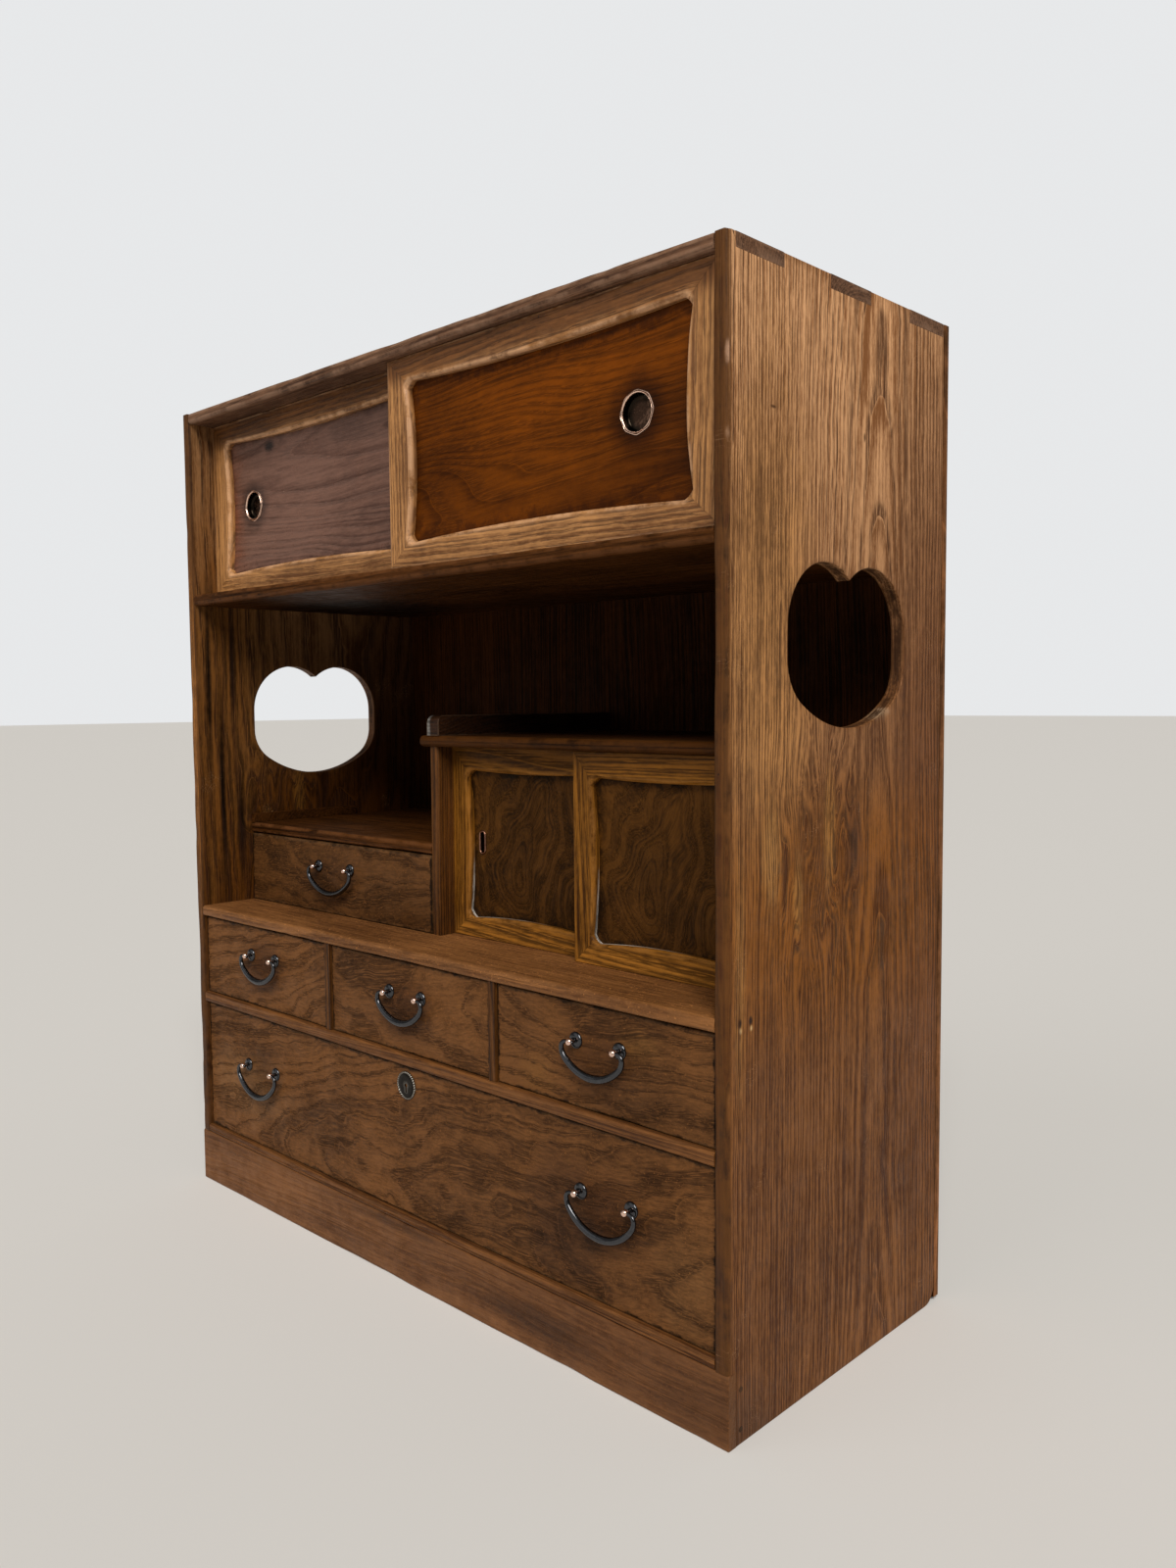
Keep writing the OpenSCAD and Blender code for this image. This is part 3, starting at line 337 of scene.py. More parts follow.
def aging(r, ins):
    """Clouds = broad noise; Scratch = thin bands of stretched noise; Holes = discs round scattered points."""
    place = ins["Place"]
    slanted = r.new("Mapping", {"Vector": place, "Rotation": SCRATCH_TURN, "Scale": SCRATCH_SCALE}).outputs[0]
    line = r.noise(slanted, 1.0, 2.0, 0.5)
    thin = r.rest(r.span(r.sum("ABSOLUTE", r.sum("SUBTRACT", line, 0.5)), 0.0, 0.012))
    scratch = r.times(thin, r.span(r.noise(place, PATCH_SCALE, 2.0, 0.5), 0.6, 0.7))
    dots = r.new("TexVoronoi", {"Vector": place, "Scale": HOLE_SCALE}).outputs
    few = r.span(r.split(dots["Color"])[0], 0.86, 0.88)
    holes = r.times(r.rest(r.span(dots["Distance"], 0.02, 0.05)), few)
    return r.noise(place, CLOUD_SCALE, 4.0, 0.6), r.noise(place, MOTTLE_SCALE, 5.0, 0.7), scratch, holes


AGE = node_group("age", ["Place"], [], ["Clouds", "Mottle", "Scratch", "Holes"], aging)

# %% [markdown]
# ## Wood
# Every wood of the cabinet is one recipe with its own values: light and dark tone, direction of the grain, where
# the tree's middle lies, ring width, how much the figure wanders, wear, stains and patches of painted light and
# shade at known places, and wax.
# The shader itself stays here in the material, with its gloss as plain numbers or a roughness mask.

# %% Wood recipe
TURNS = {"X": (1, 2, 0), "Y": (2, 0, 1), "Z": (0, 1, 2)}
CURL_STRETCH, CURL_SCALE, DUST_SCALE = (1.0, 1.0, 0.26), 30.0, 420.0
SLOW_SHARE, SCRATCH_SHARE, MARK_DEEP, DUST_PALE, HOLE_TONE = 0.35, 0.35, 0.55, 1.45, (24, 14, 9)


def wood(name, light, dark, pore, grain="X", heart=(0.0, 0.0), lean=(0.0, 0.0), squash=(1.0, 1.0),
         spacing=0.004, wander=0.02, swirl=0.0, early=0.3, lines=0.5, fibres=0.5, flecks=0.25, pores=0.6,
         clouds=0.35, mottle=0.5, wear_box=None, rubbed=None, worn_share=0.7, gloss=(0.36, 0.56), sheen=0.15,
         depth=0.0004, marks=(), fall=None, edge_shading=None, inside=None, wall=None, eddy=None, source=None,
         holes=0.8, dust=0.0):
    """Tone = light to dark by late wood, fibre, flecks and clouds. Stains and patches of painted light and shade at
    known places change both tones, so the figure shows through them, and the falloff darkens both towards the floor
    as painted shade. Pores, painted shade along the box's edges, painted shade on inner faces and on the cut-out's
    wall, and rubbed edges are mixed over it. A wood with a rubbed tone wears where its pieces' own wear attribute
    says, or near the edges of wear_box."""
    material, tree, shader = blank_material(name)
    r = Recipe(tree)
    place = r.new("TexCoord", {}).outputs["Object"]
    if source:
        along = r.attribute(source, "Vector")
    else:
        xyz = r.split(place)
        along = r.joined(*[xyz[i] for i in TURNS[grain]])
    if eddy:
        centre, inner, outer, amount, stretch = eddy
        away = r.away(place, centre, stretch)
        curl = r.noise(r.arrow("MULTIPLY", place, CURL_STRETCH), CURL_SCALE, 1.0, 0.4, colour=True)
        curl = r.arrow("MULTIPLY", r.centred(curl), (1.0, 1.0, 0.0))
        along = r.arrow("ADD", along, r.scaled(curl, r.span(away, inner, outer, amount, 0.0)))
    shift = (-heart[0] * squash[0], -heart[1] * squash[1], 0.0)
    board = r.new("Mapping", {"Vector": along, "Location": shift, "Rotation": (*lean, 0.0),
                              "Scale": (*squash, 1.0)}).outputs[0]
    rings = r.group(GROWTH, Place=board, Spacing=spacing, Wander=wander, Swirl=swirl, Early=early)
    age = r.group(AGE, Place=place)
    fibre, fleck = r.span(rings["Fibre"], 0.34, 0.66), r.span(rings["Fleck"], 0.36, 0.64)
    parts = ((fibre, fibres), (fleck, flecks), (r.span(age["Clouds"], 0.32, 0.68), clouds),
             (r.span(rings["Slow"], 0.3, 0.7), SLOW_SHARE), (age["Mottle"], mottle))
    level = 0.5 - 0.4 * lines - 0.5 * sum(share for _, share in parts)
    tone = r.blend(level, (rings["Late"], lines), *parts)
    tone = r.sum("ADD", tone, 0.0, clamp=True)
    pale, deep = srgb(*light), srgb(*dark)
    # Painted shade: below high both tones darken towards their low tones, fully at low, as the light falls off
    # towards the floor.
    if fall:
        low, high, pale_low, deep_low = fall
        down = r.span(r.split(place)[2], low, high, 1.0, 0.0)
        pale, deep = r.mix(down, pale, srgb(*pale_low)), r.mix(down, deep, srgb(*deep_low))
    # Marks are real stains and also patches of painted light and shade; a mark's tone sets both tones round its
    # centre.
    for centre, inner, outer, stain_and_light, strength, stretch in marks:
        away = r.away(place, centre, stretch)
        away = r.sum("MULTIPLY_ADD", r.sum("SUBTRACT", age["Mottle"], 0.5), (outer - inner) * 0.9, away)
        here = r.span(away, inner, outer, strength, 0.0)
        pale = r.mix(here, pale, srgb(*stain_and_light))
        deep = r.mix(here, deep, srgb(*[v * MARK_DEEP for v in stain_and_light]))
    colour = r.mix(tone, pale, deep)
    colour = r.mix(r.times(rings["Pores"], pores), colour, srgb(*pore))
    if dust:
        specks = r.span(r.noise(place, DUST_SCALE, 3.0, 0.7), 0.58, 0.7, 0.0, dust)
        specks = r.times(specks, r.span(age["Mottle"], 0.35, 0.6))
        colour = r.mix(specks, colour, srgb(*[v * DUST_PALE for v in light]))
    # Painted shade: a band along the box's edges is darkened, in the recess round a sunk panel and the gap round a
    # drawer front.
    if edge_shading:
        low, high, wide, edge_shade_tone, share = edge_shading
        rim = r.group(EDGES, Place=place, Low=low, High=high, Reach=wide)["Wear"]
        colour = r.mix(r.times(rim, share), colour, srgb(*edge_shade_tone))
    # Painted shade: where |x| is under the first bound, on the side boards' inner faces, the colour is multiplied by
    # the tone, fading out by the second.
    if inside:
        depth_in = r.span(r.sum("ABSOLUTE", r.split(place)[0]), inside[0], inside[1], 1.0, 0.0)
        colour = r.mix(depth_in, colour, r.mix(1.0, colour, srgb(*inside[2]), "MULTIPLY"))
    # Painted shade: the wall tone covers the cut-out's wall, where the hollow attribute is one, patchy by the mottle.
    if wall:
        share = r.times(r.attribute("hollow"), r.span(age["Mottle"], 0.40, 0.58, 0.35, 0.95))
        colour = r.mix(share, colour, srgb(*wall))
    colour = r.mix(r.times(age["Scratch"], SCRATCH_SHARE), colour, srgb(*light))
    if rubbed:
        if wear_box:
            low, high, reach = wear_box
            worn = r.group(EDGES, Place=place, Low=low, High=high, Reach=reach)["Wear"]
        else:
            worn = r.times(r.attribute("wear"), r.span(age["Mottle"], 0.35, 0.6))
        colour = r.mix(r.times(worn, worn_share), colour, srgb(*rubbed))
    pits = r.times(age["Holes"], holes)
    colour = r.mix(pits, colour, srgb(*HOLE_TONE))
    tree.links.new(colour, shader.inputs["Base Color"])
    shine = r.sum("ADD", r.span(age["Mottle"], 0.3, 0.7, *gloss), r.times(rings["Pores"], 0.2))
    tree.links.new(shine, shader.inputs["Roughness"])
    relief = r.blend(r.times(fibre, 0.25), (rings["Late"], 0.25), (fleck, 0.3), (rings["Pores"], -0.8),
                     (age["Scratch"], -0.5), (pits, -1.5), (age["Mottle"], 0.5))
    bump = r.new("Bump", {"Height": relief, "Strength": 0.7, "Distance": depth})
    tree.links.new(bump.outputs[0], shader.inputs["Normal"])
    shader.inputs["Specular IOR Level"].default_value = sheen
    return material


# %% [markdown]
# ## Building surfaces
# Each new piece is a grid of points: rows along one direction, columns round a section. Faces join each point
# to its neighbours, the ends are closed, and if the enclosed volume comes out negative the faces are turned
# over, so every piece faces outwards whatever way its formula runs.

# %% Surface helper


def quads(grid, loop_rows, loop_columns, caps):
    """Faces of a grid of points as index lists, wrapped round in either direction, with its ends as caps."""
    rows, columns = grid.shape[:2]
    index = np.arange(rows * columns).reshape(rows, columns)
    u = np.arange(rows if loop_rows else rows - 1)[:, None]
    v = np.arange(columns if loop_columns else columns - 1)[None, :]
    near, far = (u + 1) % rows, (v + 1) % columns
    lists = np.stack([index[u, v], index[near, v], index[near, far], index[u, far]], -1).reshape(-1, 4).tolist()
    if caps:
        lists += [index[0].tolist(), index[-1][::-1].tolist()]
    return lists


def enclosed(points, faces):
    """Volume inside the faces = sum over fan triangles of the box product of their corners, over six."""
    total = 0.0
    for size in {len(face) for face in faces}:
        ring = points[np.array([face for face in faces if len(face) == size])]
        for k in range(1, size - 1):
            total += np.einsum("ij,ij->", ring[:, 0], np.cross(ring[:, k], ring[:, k + 1]))
    return total / 6


def build(name, parts, material, body, stands_for, smooth=35.0):
    """Joins surfaces (grid, loop_rows, loop_columns, caps, values) into one piece and hangs it on its body.
    Edges sharper than smooth degrees stay sharp."""
    points, faces, values, start = [], [], {}, 0
    for grid, loop_rows, loop_columns, caps, more in parts:
        flat = grid.reshape(-1, 3)
        lists = quads(grid, loop_rows, loop_columns, caps)
        if enclosed(flat, lists) < 0:
            lists = [face[::-1] for face in lists]
        faces += [[start + k for k in face] for face in lists]
        for key, value in more.items():
            block = np.broadcast_to(value, grid.shape[:2] + value.shape[2:]).reshape(len(flat), -1)
            values.setdefault(key, []).append(block)
        points.append(flat)
        start += len(flat)
    mesh = bpy.data.meshes.new(name)
    mesh.from_pydata(np.concatenate(points).tolist(), [], faces)
    for key, blocks in values.items():
        block = np.concatenate(blocks).astype(np.float32)
        kind, field = ("FLOAT_VECTOR", "vector") if block.shape[1] == 3 else ("FLOAT", "value")
        mesh.attributes.new(key, kind, "POINT").data.foreach_set(field, block.ravel())
    mesh.shade_smooth()
    mesh.set_sharp_from_angle(angle=math.radians(smooth))
    mesh.materials.append(material)
    piece = placed(name, mesh)
    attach(piece, body)
    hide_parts(*stands_for)
    print(f"{name}: {start} points, {len(faces)} faces")


def ragged(count, step, size, deep, chips, seed):
    """Loss along an edge in metres: smoothed random numbers squared, plus a few rounded chips."""
    draw = np.random.default_rng(seed)
    width = max(size / step, 1.0)
    kernel = np.exp(-0.5 * (np.arange(-int(3 * width), int(3 * width) + 1) / width) ** 2)
    soft = np.convolve(draw.random(count + len(kernel) - 1), kernel / kernel.sum(), "valid")
    soft = (soft - soft.min()) / (np.ptp(soft) + 1e-9)
    where = np.arange(count)[:, None] * step
    centres = draw.random(chips) * count * step
    widths = draw.uniform(0.3, 1.0, chips) * size * 2
    heights = draw.uniform(0.4, 1.0, chips) * deep * 2.5
    return deep * soft ** 2 + (heights * np.exp(-((where - centres) / widths) ** 2)).sum(1)


cube = np.array([[[x, y, z] for x, y in ((0, 0), (1, 0), (1, 1), (0, 1))] for z in (0, 1)], float)
print("volume of a unit cube:", abs(enclosed(cube.reshape(-1, 3), quads(cube, False, True, True))))

# %% [markdown]
# ## Boards across the cabinet
# The shelves, the top, the counter and the plinth are planks whose front edges were rounded with a plane and
# then rubbed by a century of hands. Each is a section, a rectangle with four rounded corners, carried from one
# side to the other. The corners lose a little wood along the way, the ends close in a small rounding.

# %% Board helper
ZONE, WEAR_SIZE, ARC_STEPS, END_STEPS = 2.5 * MM, 14 * MM, 6, 4


def section(low, high, radii):
    """A rounded rectangle: quarter circles at the corners and three points on each side between them.
    Returns the points, their outward directions, and how much each belongs to each corner."""
    corners = [(low[0], low[1]), (high[0], low[1]), (high[0], high[1]), (low[0], high[1])]
    centres = [np.array(corner) + radius * np.array(inward)
               for corner, radius, inward in zip(corners, radii, ((1, 1), (-1, 1), (-1, -1), (1, -1)))]
    points, outward, share = [], [], []
    for k, (centre, radius) in enumerate(zip(centres, radii)):
        angles = math.pi * (1.0 + 0.5 * k) + np.linspace(0, math.pi / 2, ARC_STEPS)
        round_way = np.stack([np.cos(angles), np.sin(angles)], 1)
        weight = np.zeros((ARC_STEPS, 4))
        weight[:, k] = 1.0
        after = centre + radius * round_way[-1]
        side = centres[(k + 1) % 4] + radii[(k + 1) % 4] * round_way[-1] - after
        length = np.linalg.norm(side)
        zone = min(ZONE, 0.3 * length) / length
        points += [centre + radius * round_way] + [(after + part * side)[None] for part in (zone, 0.5, 1 - zone)]
        outward += [round_way] + [round_way[-1:]] * 3
        share += [weight, np.zeros((3, 4))]
    return np.concatenate(points), np.concatenate(outward), np.concatenate(share)


def plank(x0, x1, low, high, radii, end=0.6, step=1.5, loss=(0, 0, 0, 0), chips=0, seed=1):
    """Point = section point minus its outward direction times (end rounding + loss at its corner), at each x.
    low and high are the section's y and z in metres; radii, end, step and loss are in millimetres."""
    points, outward, share = section(low, high, [v * MM for v in radii])
    end, step = end * MM, step * MM
    turn = np.linspace(0, math.pi / 2, END_STEPS)
    count = max(int((x1 - x0 - 2 * end) / step), 4)
    xs = np.concatenate([x0 + end * (1 - np.cos(turn))[:-1], np.linspace(x0 + end, x1 - end, count),
                         (x1 - end * (1 - np.cos(turn[::-1])))[1:]])
    rounding = end * (1 - np.sin(turn))[:-1]
    inset = np.concatenate([rounding, np.zeros(count), rounding[::-1]])
    worn = np.stack([ragged(len(xs), step, WEAR_SIZE, loss[k] * MM, chips, seed * 10 + k) for k in range(4)], 1)
    pull = inset[:, None] + worn @ share.T
    flat = points[None] - outward[None] * pull[..., None]
    grid = np.concatenate([np.broadcast_to(xs[:, None, None], flat.shape[:2] + (1,)), flat], 2)
    wear = np.broadcast_to(share.max(1)[None], flat.shape[:2])
    return grid, False, True, True, {"wear": wear[..., None]}


print("a board's section has", len(section((0, 0), (1, 1), [0.1] * 4)[0]), "points")

# %% [markdown]
# ## Marks on the side boards
# Pegs, gouges, pale rubbed spots and a dark foot lie at known places of the sides. With them lie painted light and
# shade: a broad pale patch near the front's upper part and a broad dark one at the back, and a painted glint on
# the right cut-out's wall. They could be painted on a picture wrapped round the board. Here each is a soft ball
# or oval in space, so it keeps its size in metres and also reaches round the board's edge.

# %% Marks on the side boards
FACE_X, ARRIS_X, INSIDE_X = 0.4375, 0.4365, -0.4225
PEG, GOUGE = (40, 22, 12), (14, 7, 3)


def on_plane(x, *rows):
    """Marks at one x: each row gives y behind the front, z, inner and outer reach, tone, strength, stretch."""
    return [((x, FRONT + y, z), *rest) for y, z, *rest in rows]


side_marks = on_plane(
    FACE_X,
    # The first two rows, a broad pale patch near the front's upper part and a broad dark one at the back, are painted
    # light and shade.
    (0.055, 0.68, 0.02, 0.10, (206, 146, 84), 0.75, (0, 1, 0.3)),
    (0.353, 0.58, 0.04, 0.15, (116, 68, 34), 0.7, (0, 1, 0.25)),
    (0.18, 0.44, 0.05, 0.16, (144, 84, 14), 0.8, (0, 0.5, 1)),
    (0.15, 0.515, 0.004, 0.018, (196, 136, 66), 0.75, (0, 1.3, 0.25)),
    (0.10, 0.46, 0.003, 0.014, (196, 142, 76), 0.5, (0, 1.2, 0.3)),
    (0.06, 0.50, 0.004, 0.02, (196, 142, 78), 0.6, (0, 1, 0.3)),
    (0.08, 0.485, 0.002, 0.009, (82, 46, 20), 0.7, (0, 1.2, 0.3)),
    (0.19, 0.49, 0.004, 0.02, (92, 52, 22), 0.7, (0, 1, 0.25)),
    (0.0165, 0.40, 0.0, 0.011, (184, 130, 68), 0.6, (0, 1, 0.07)),
    (0.016, 0.3628, 0.001, 0.004, PEG, 0.95, (0, 1, 0.7)),
    (0.031, 0.3623, 0.001, 0.004, PEG, 0.95, (0, 1, 0.7)),
    (0.017, 0.356, 0.0, 0.003, (226, 186, 130), 0.9, (0, 1, 0.8)),
    (0.032, 0.356, 0.0, 0.003, (226, 186, 130), 0.9, (0, 1, 0.8)),
    (0.0, 0.5, 0.0015, 0.0055, (86, 50, 16), 0.95, (0, 1, 0)),
    (0.0, 0.0, 0.05, 0.45, (72, 44, 24), 0.8, (0, 60, 1)),
    (0.02, 0.0, 0.01, 0.06, (84, 56, 40), 0.6, (0, 1, 1)),
    (0.062, 0.872, 0.0005, 0.0022, (70, 40, 22), 0.8, (0, 0.35, 1)),
    (0.205, 0.868, 0.0005, 0.0022, (50, 28, 14), 0.8, (0, 1, 0.4)))
# A painted glint on the right cut-out's wall.
side_marks.append(((0.4300, 0.0500, 0.620), 0.003, 0.012, (210, 184, 150), 0.85, (0.6, 0.45, 1)))
side_marks += on_plane(
    INSIDE_X,
    (0.030, 0.60, 0.02, 0.07, (196, 128, 60), 0.7, (1, 1, 0.2)),
    (0.018, 0.66, 0.001, 0.006, GOUGE, 0.95, (1, 1, 0.03)),
    (0.034, 0.52, 0.001, 0.007, GOUGE, 0.95, (1, 1, 0.03)),
    (0.052, 0.68, 0.001, 0.006, GOUGE, 0.9, (1, 1, 0.05)),
    (0.060, 0.47, 0.001, 0.009, GOUGE, 0.9, (1, 1, 0.08)))
side_marks += on_plane(
    ARRIS_X,
    (0.001, 0.905, 0.0005, 0.004, (206, 162, 130), 0.85, (1, 1, 0.3)),
    (0.001, 0.842, 0.001, 0.004, (190, 146, 112), 0.85, (1, 1, 0.5)),
    (0.001, 0.560, 0.001, 0.005, (30, 18, 10), 0.85, (1, 1, 0.4)),
    (0.001, 0.300, 0.001, 0.004, (180, 130, 84), 0.7, (1, 1, 0.25)))
print("marks on the side boards:", len(side_marks))

# %% [markdown]
# ## Woods of the case
# The sides are one flame-grained board each, honey brown at the top and darker towards the floor, a painted
# falloff of the light. The shelves are darker, the rubbed noses greyish. Every board is the one recipe with its
# own values, so no knot comes twice. Colours were judged against the photograph.

# %% Woods of the case


def boxed(node):
    """The node's low and high corner as plain tuples, for the shaders."""
    low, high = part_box(node)
    return tuple(low), tuple(high)


side_wood = wood(
    "side_board_wood", (236, 180, 130), (142, 92, 52), (66, 34, 14), grain="Z", heart=(0.30, 0.05),
    lean=(0.0, 0.012), spacing=0.0034, wander=0.014, swirl=0.003, early=0.5, lines=0.6, fibres=0.62, flecks=0.4,
    pores=0.95, clouds=0.3, mottle=0.45, rubbed=(104, 64, 26), worn_share=0.5, gloss=(0.4, 0.6),
    # Painted shade: the falloff darkens the boards towards the floor, the inside tone their inner faces and the wall
    # tone the cut-out's wall.
    fall=(0.42, 1.02, (140, 90, 46), (72, 38, 14)), inside=(0.4225, 0.4240, (166, 160, 146)), wall=(56, 33, 16),
    marks=side_marks, eddy=((FACE_X, FRONT + 0.125, 0.49), 0.02, 0.10, 0.055, (0, 1.0, 0.55)))
# The shelf wood's mark darkens the left part of the upper shelf's underside: painted shade.
under_shelf = (-0.34, FRONT + 0.20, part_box("upper_shelf")[0][2])
shelf_wood = wood(
    "dark_shelf_wood", (88, 50, 18), (34, 16, 3), (18, 9, 3), heart=(0.03, 0.41), lean=(0.02, 0.0),
    rubbed=(104, 64, 34), sheen=0.05, dust=0.25, marks=[(under_shelf, 0.06, 0.20, (20, 9, 3), 0.9, (1, 1, 6))])
cap_wood = wood(
    "cupboard_cap_wood", (72, 42, 18), (30, 15, 5), (16, 8, 3), heart=(0.04, 0.53), lean=(0.03, 0.0),
    rubbed=(78, 44, 14), sheen=0.05, dust=0.3)
top_wood = wood(
    "top_board_wood", (136, 98, 72), (66, 42, 28), (34, 20, 12), heart=(0.03, 0.93), lean=(0.03, 0.01),
    spacing=0.0035, wander=0.014, pores=0.8, rubbed=(150, 116, 92))
counter_wood = wood(
    "counter_wood", (148, 98, 54), (84, 50, 23), (42, 22, 10), heart=(0.05, 0.30), lean=(0.02, 0.01),
    spacing=0.0045, lines=0.4, rubbed=(140, 94, 54), worn_share=0.5, dust=0.8)
plinth_wood = wood(
    "plinth_wood", (130, 85, 48), (82, 49, 24), (42, 22, 10), heart=(0.02, -0.05), lean=(0.03, 0.0),
    spacing=0.005, wander=0.03, lines=0.3, fibres=0.35, flecks=0.3, pores=0.35, mottle=0.9,
    rubbed=(112, 74, 44), gloss=(0.38, 0.6), dust=0.3,
    marks=[((-0.02, FRONT, 0.07), 0.004, 0.022, (48, 26, 14), 0.75, (0.16, 0, 1)),
           ((0.20, FRONT, 0.03), 0.004, 0.02, (62, 36, 20), 0.6, (0.16, 0, 1)),
           ((0.40, FRONT, 0.03), 0.0, 0.09, (84, 50, 26), 0.5, (0.6, 1, 2.0))])
# The back panel's inner face is painted almost black: painted shade of the niche. The first mark gives its rear face
# a lighter tone, the other two pale its ends at the sides.
inner_dark = wood(
    "inner_dark_wood", (70, 36, 8), (24, 10, 1), (10, 5, 1), grain="Z", heart=(0.06, 0.20), lean=(0.01, 0.01),
    spacing=0.006, wander=0.03, lines=0.6, gloss=(0.5, 0.7), sheen=0.04,
    marks=[((0.0, FRONT + 0.3605, 0.0), 0.001, 0.0035, (128, 96, 68), 0.9, (0, 1, 0))]
    + [((x, 0.0, 0.2), 0.0006, 0.0016, (176, 116, 72), 1.0, (1, 0, 0)) for x in (FACE_X, -FACE_X)])
bare_wood = wood(
    "bare_inner_wood", (168, 130, 88), (126, 90, 56), (90, 62, 40), grain="Y", heart=(0.04, 0.1), wander=0.015,
    clouds=0.25, gloss=(0.6, 0.8),
    marks=[((x, 0.0, 0.0), 0.002, 0.006, (58, 38, 24), 0.95, (1, 0, 0)) for x in (FACE_X, -FACE_X)])
gallery_low, gallery_high = boxed("gallery_rail")
# The gallery's pale edges are partly wear and partly a painted highlight, and its mark is a painted highlight at its
# front end.
gallery_wood = wood(
    "gallery_wood", (60, 34, 17), (26, 13, 5), (14, 7, 3), heart=(0.03, 0.03),
    wear_box=(gallery_low, gallery_high, 0.0012), rubbed=(96, 74, 56), worn_share=0.45, gloss=(0.3, 0.5),
    marks=[(gallery_low, 0.004, 0.007, (150, 146, 140), 0.85, (1, 0.3, 0.2))])
rail_wood = wood(
    "rail_wood", (128, 82, 42), (70, 40, 18), (30, 16, 7), heart=(0.03, 0.03), lean=(0.02, 0.01), spacing=0.003,
    wander=0.015, lines=0.6, gloss=(0.38, 0.58))
upright_wood = wood(
    "upright_wood", (106, 64, 24), (48, 26, 8), (24, 12, 4), grain="Z", heart=(0.05, 0.05), lean=(0.01, 0.01),
    spacing=0.003, wander=0.01, lines=0.75, gloss=(0.4, 0.6))
print("woods:", *[made.name for made in (side_wood, shelf_wood, cap_wood, top_wood, counter_wood, plinth_wood,
                                         inner_dark, bare_wood, gallery_wood, rail_wood, upright_wood)])

# %% [markdown]
# ## Outline of the cut-out
# The cut-out has a wide shallow arc below, a round shoulder at each side and two lobes that meet in a cusp at
# the top. It could be traced point by point, but arcs that run into each other give a clean line from a few
# measures.

# %% Outline of the cut-out
CUT_W, CUT_H, LOBE_R, LOBE_OFF, CORNER_R, SHOULDER = (v * MM for v in (196, 147, 60, 38, 45, 61))


def arc(middle_x, middle_z, radius, start, end, count):
    """Points of a circle round the middle, at even steps from one angle to the other."""
    a = np.linspace(start, end, count)
    return np.stack([middle_x + radius * np.cos(a), middle_z + radius * np.sin(a)], 1)


def cut_outline():
    """Half of the cut-out from its lowest point: wide arc, corner arc, upright, lobe arc to the cusp; then
    mirrored."""
    dx = CUT_W / 2 - CORNER_R
    low_r = (dx ** 2 + SHOULDER ** 2 - CORNER_R ** 2) / (2 * (SHOULDER - CORNER_R))
    join = math.atan2(dx, low_r - SHOULDER)
    a = np.linspace(0, join, 60)
    bottom = np.stack([low_r * np.sin(a), low_r - low_r * np.cos(a)], 1)
    corner = arc(dx, SHOULDER, CORNER_R, join - math.pi / 2, 0, 60)[1:]
    lobe = arc(LOBE_OFF, CUT_H - LOBE_R, LOBE_R, 0, math.acos(-LOBE_OFF / LOBE_R), 200)
    half = np.concatenate([bottom, corner, lobe])
    return np.concatenate([half, (half * [-1, 1])[::-1][1:-1]])


print("cut-out in millimetres:", (np.ptp(cut_outline(), axis=0) / MM).round(1))

# %% [markdown]
# ## Surface of a side board
# A side board is a plate with one lobed hole, so it is a ring: rays from the middle of the hole reach the
# hole's edge and the board's edge, and a section runs round between them: up the hole's wall, over its rounded
# rim, across the face, over the outer arris and back. The front arris is the most worn, so rays are closer there.

# %% Surface of a side board
CUT_MID, RAY_UP, CUSP_ZONE = FRONT + 182 * MM, 75 * MM, 12 * MM
SIDE_DEEP, TOE, HEEL_R, SHRINK = 353 * MM, 11 * MM, 20 * MM, 0.15 * MM
RIM_R, SMALL_R, INNER_SMALL_R, FRONT_R, FRONT_INNER_R = 0.9 * MM, 0.9 * MM, 0.5 * MM, 3.4 * MM, 2.6 * MM
RIM_FLAT, EDGE_FLAT = 5 * MM, 7.5 * MM
FRONT_ROWS, SIDE_WEAR, SIDE_LOSS, SIDE_CHIPS = 640, 16 * MM, 0.4 * MM, 9


def along_rays(outline, middle, angles):
    """Where rays from middle at these angles meet a closed outline, by linear interpolation in the angle."""
    d = outline - middle
    turn = np.unwrap(np.arctan2(d[:, 1], d[:, 0]))
    if turn[-1] < turn[0]:
        d, turn = d[::-1], turn[::-1]
    wrapped = np.concatenate([turn - 2 * math.pi, turn, turn + 2 * math.pi])
    spot = np.concatenate([d, d, d])
    return np.stack([np.interp(angles, wrapped, spot[:, k]) for k in (0, 1)], 1) + middle


def outward_of(points):
    """Corner direction of a closed outline: both neighbours' normals, added and stretched to keep the offset."""
    ahead = np.roll(points, -1, 0) - points
    ahead /= np.linalg.norm(ahead, axis=1)[:, None]
    normal = np.stack([ahead[:, 1], -ahead[:, 0]], 1)
    before = np.roll(normal, 1, 0)
    return (normal + before) / (1 + (normal * before).sum(1))[:, None]


def pushed_in(away, inset):
    """New distance from an edge: at least the inset, easing back to the old distance at three insets."""
    return np.where(away < 3 * inset, inset + away * 2 / 3, away)


